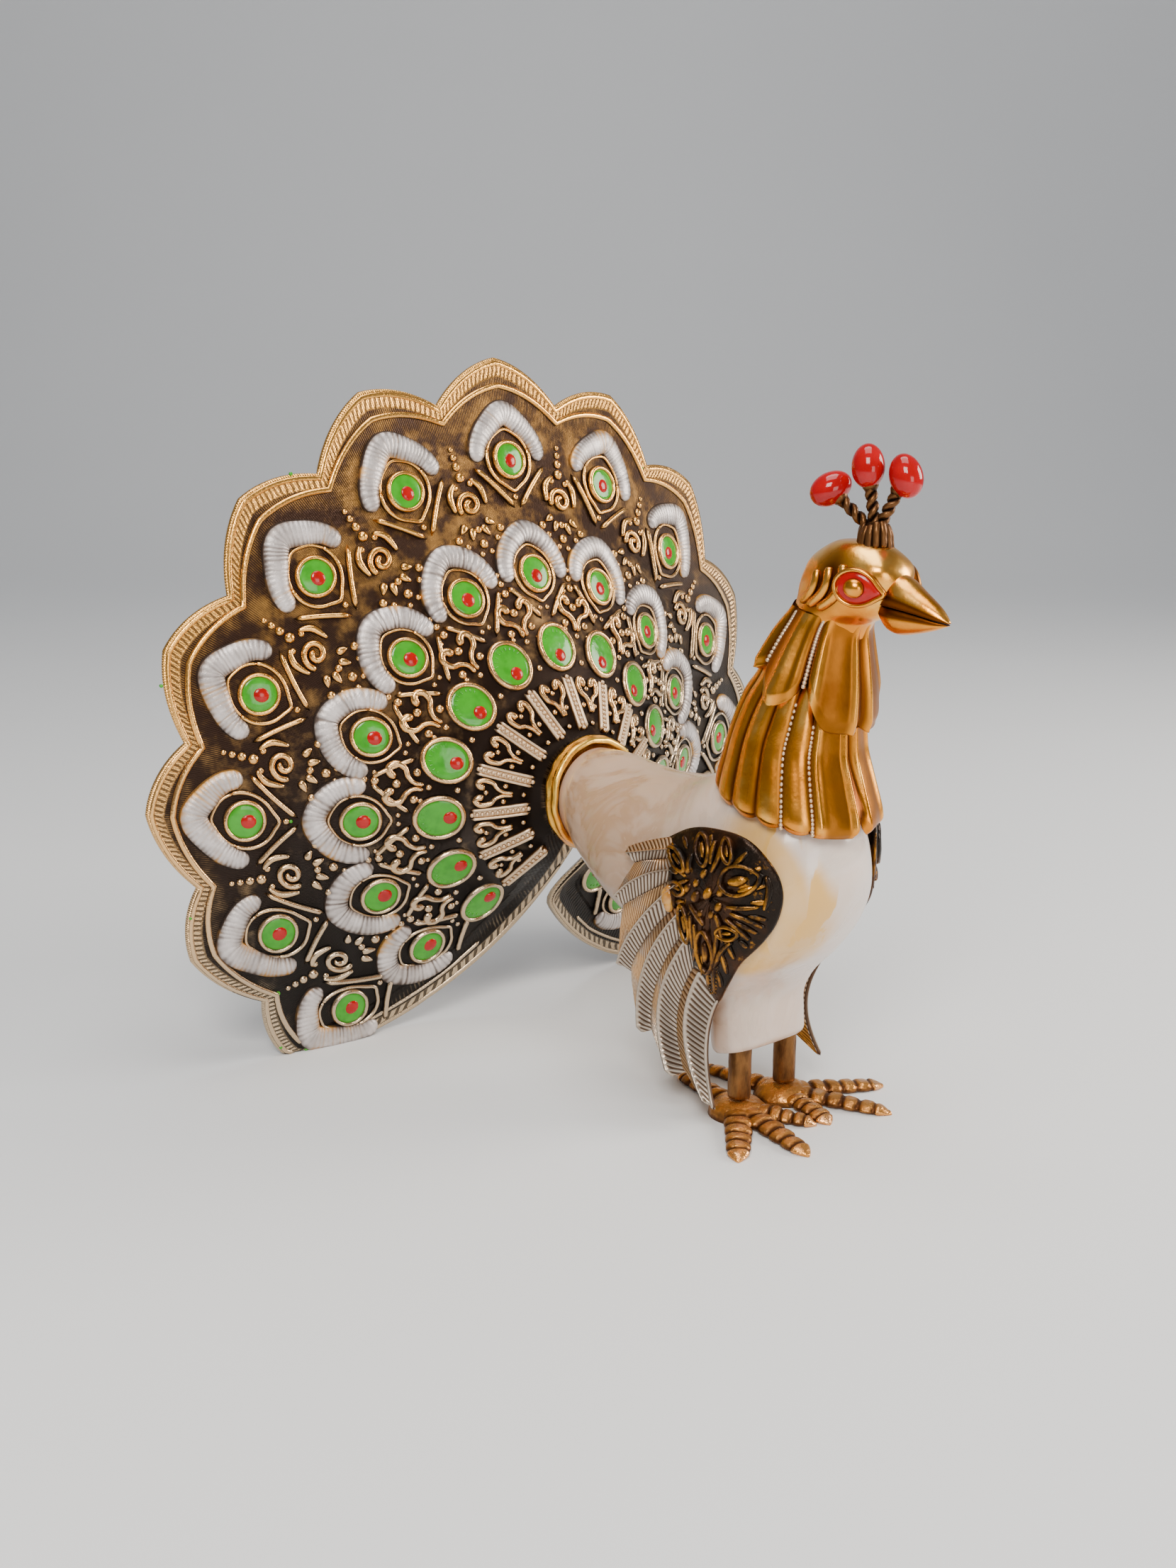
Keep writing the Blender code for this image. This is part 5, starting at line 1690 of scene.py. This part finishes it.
def amber_finish():
    """Hardened amber glue."""
    finish = Finish("amber_glue", Roughness=0.12, Transmission_Weight=0.3, IOR=1.5, Coat_Weight=0.6)
    depth = finish.clouds(500.0, 2.0)
    finish.wear(Base_Color=finish.mix(depth.rises(0.35, 0.65), (0.90, 0.45, 0.08), (0.62, 0.24, 0.03)))
    return finish.material


# Stage, light and camera


FLOOR_RUN = 2.2
FLOOR_BEHIND = 1.5
FLOOR_WIDTH = 4.0
BACKDROP_RUN = 4.2
BACKDROP_BEND = 0.5
FIGURE_MIDDLE = Vector((0, 0, 0.05))
BACKDROP_MIDDLE = Vector((0.79, 0.91, 0.35))
# Place, aim, size, power and colour of each softbox
SOFTBOXES = {
    "key": ((-0.36, -0.30, 0.42), FIGURE_MIDDLE, 0.22, 3.0, (1.0, 0.95, 0.88)),
    "side": ((0.42, -0.27, 0.24), FIGURE_MIDDLE, 0.24, 2.6, (1.0, 0.93, 0.84)),
    "top": ((-0.05, -0.05, 0.60), FIGURE_MIDDLE, 0.34, 1.8, (1.0, 0.98, 0.95)),
    "low": ((-0.12, -0.50, 0.12), FIGURE_MIDDLE, 0.18, 0.5, (1.0, 0.96, 0.9)),
    "back": ((0.15, 0.17, 1.15), BACKDROP_MIDDLE, 0.60, 3.6, (1.0, 1.0, 1.0)),
}


def make_stage():
    """A pale floor that curves up behind the object, and soft studio light."""
    finish = Finish("pale_floor", Roughness=0.7)
    finish.wear(Base_Color=finish.mix(finish.clouds(6.0), (0.78, 0.79, 0.80), (0.81, 0.82, 0.83)))
    mesh = bmesh.new()
    ahead = Vector((0.655, 0.756, 0.0))
    aside = Vector((0.756, -0.655, 0.0))

    def place(u, v):
        run = BACKDROP_RUN * v
        bend = min(max(0.0, run - FLOOR_RUN) / BACKDROP_BEND, math.pi / 2)
        past = max(0.0, run - FLOOR_RUN - BACKDROP_BEND * math.pi / 2)
        forward = min(run, FLOOR_RUN) + BACKDROP_BEND * math.sin(bend) - FLOOR_BEHIND
        rise = BACKDROP_BEND * (1 - math.cos(bend)) + past
        return ahead * forward + aside * (FLOOR_WIDTH * (u - 0.5)) + Vector((0, 0, rise))

    surface(mesh, 1, 60, place)
    data = bpy.data.meshes.new("floor")
    mesh.to_mesh(data)
    mesh.free()
    data.shade_smooth()
    data.materials.append(finish.material)
    floor = bpy.data.objects.new("floor", data)
    bpy.context.collection.objects.link(floor)
    floor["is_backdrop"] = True

    world = bpy.data.worlds.new("studio")
    world.use_nodes = True
    world.node_tree.nodes["Background"].inputs["Color"].default_value = (0.88, 0.92, 1.0, 1.0)
    world.node_tree.nodes["Background"].inputs["Strength"].default_value = 0.22
    bpy.context.scene.world = world

    for name, (spot, aim, size, power, colour) in SOFTBOXES.items():
        lamp = bpy.data.lights.new(name, "AREA")
        lamp.size = size
        lamp.energy = power
        lamp.color = colour
        light = bpy.data.objects.new(name, lamp)
        light.location = spot
        light.rotation_euler = (aim - Vector(spot)).to_track_quat("-Z", "Y").to_euler()
        bpy.context.collection.objects.link(light)


def make_camera():
    """The camera of the photograph."""
    right = Vector((0.75734, -0.65296, 0.00853))
    up = Vector((0.14395, 0.17967, 0.97314))
    ahead = Vector((0.63696, 0.73577, -0.23006))
    lens = bpy.data.cameras.new("camera")
    lens.sensor_fit = "VERTICAL"
    lens.sensor_height = 36
    lens.lens = 37.25
    lens.clip_start = 0.001
    camera = bpy.data.objects.new("camera", lens)
    turn = Matrix((right, up, -ahead)).transposed().to_4x4()
    camera.matrix_world = Matrix.Translation(Vector((-177.08, -181.95, 108.21)) * MM) @ turn
    bpy.context.collection.objects.link(camera)
    bpy.context.scene.camera = camera


def main():
    make_camera()
    make_stage()
    bronze = bronze_finish()
    brass = brass_finish()
    dull = dark_brass_finish("dull_brass", (0.30, 0.14, 0.042))
    wire = dark_brass_finish("blackened_wire", (0.15, 0.062, 0.018))
    pale = pale_metal_finish()
    red = enamel_finish("red_enamel", (0.42, 0.0, 0.0), (0.32, 0.0, 0.0))
    green = enamel_finish("green_enamel", (0.045, 0.34, 0.012), (0.028, 0.25, 0.007))
    make_tail_sheet(sheet_finish())
    make_tail_ropes(rope_finish())
    make_tail_lines(bronze)
    make_tail_rims(bronze)
    make_tail_greens(green)
    make_tail_reds(red)
    make_tail_splashes(green)
    make_tail_bars(pale)
    make_collar(gilt_finish())
    make_shell(pearl_finish())
    make_cape(brass)
    make_mantle(brass)
    make_neck_beads(pale)
    make_head(brass)
    make_beak(brass)
    make_eye_lids(brass)
    make_eye_enamel(red)
    make_crest(wire)
    make_beads(glass_finish())
    make_legs(dull)
    make_feet(cast_brass_finish())
    shoulder = shoulder_finish()
    feathers = feather_finish()
    for name, side, lift in (("right_wing", -1, 0.0), ("left_wing", 1, LEFT_WING_LIFT)):
        make_shoulder(name, side, lift, shoulder)
        make_feathers(name, side, lift, feathers)
    make_glue(amber_finish())
    str([[list(corner) for corner in box] for box in (cad_box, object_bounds())])


main()
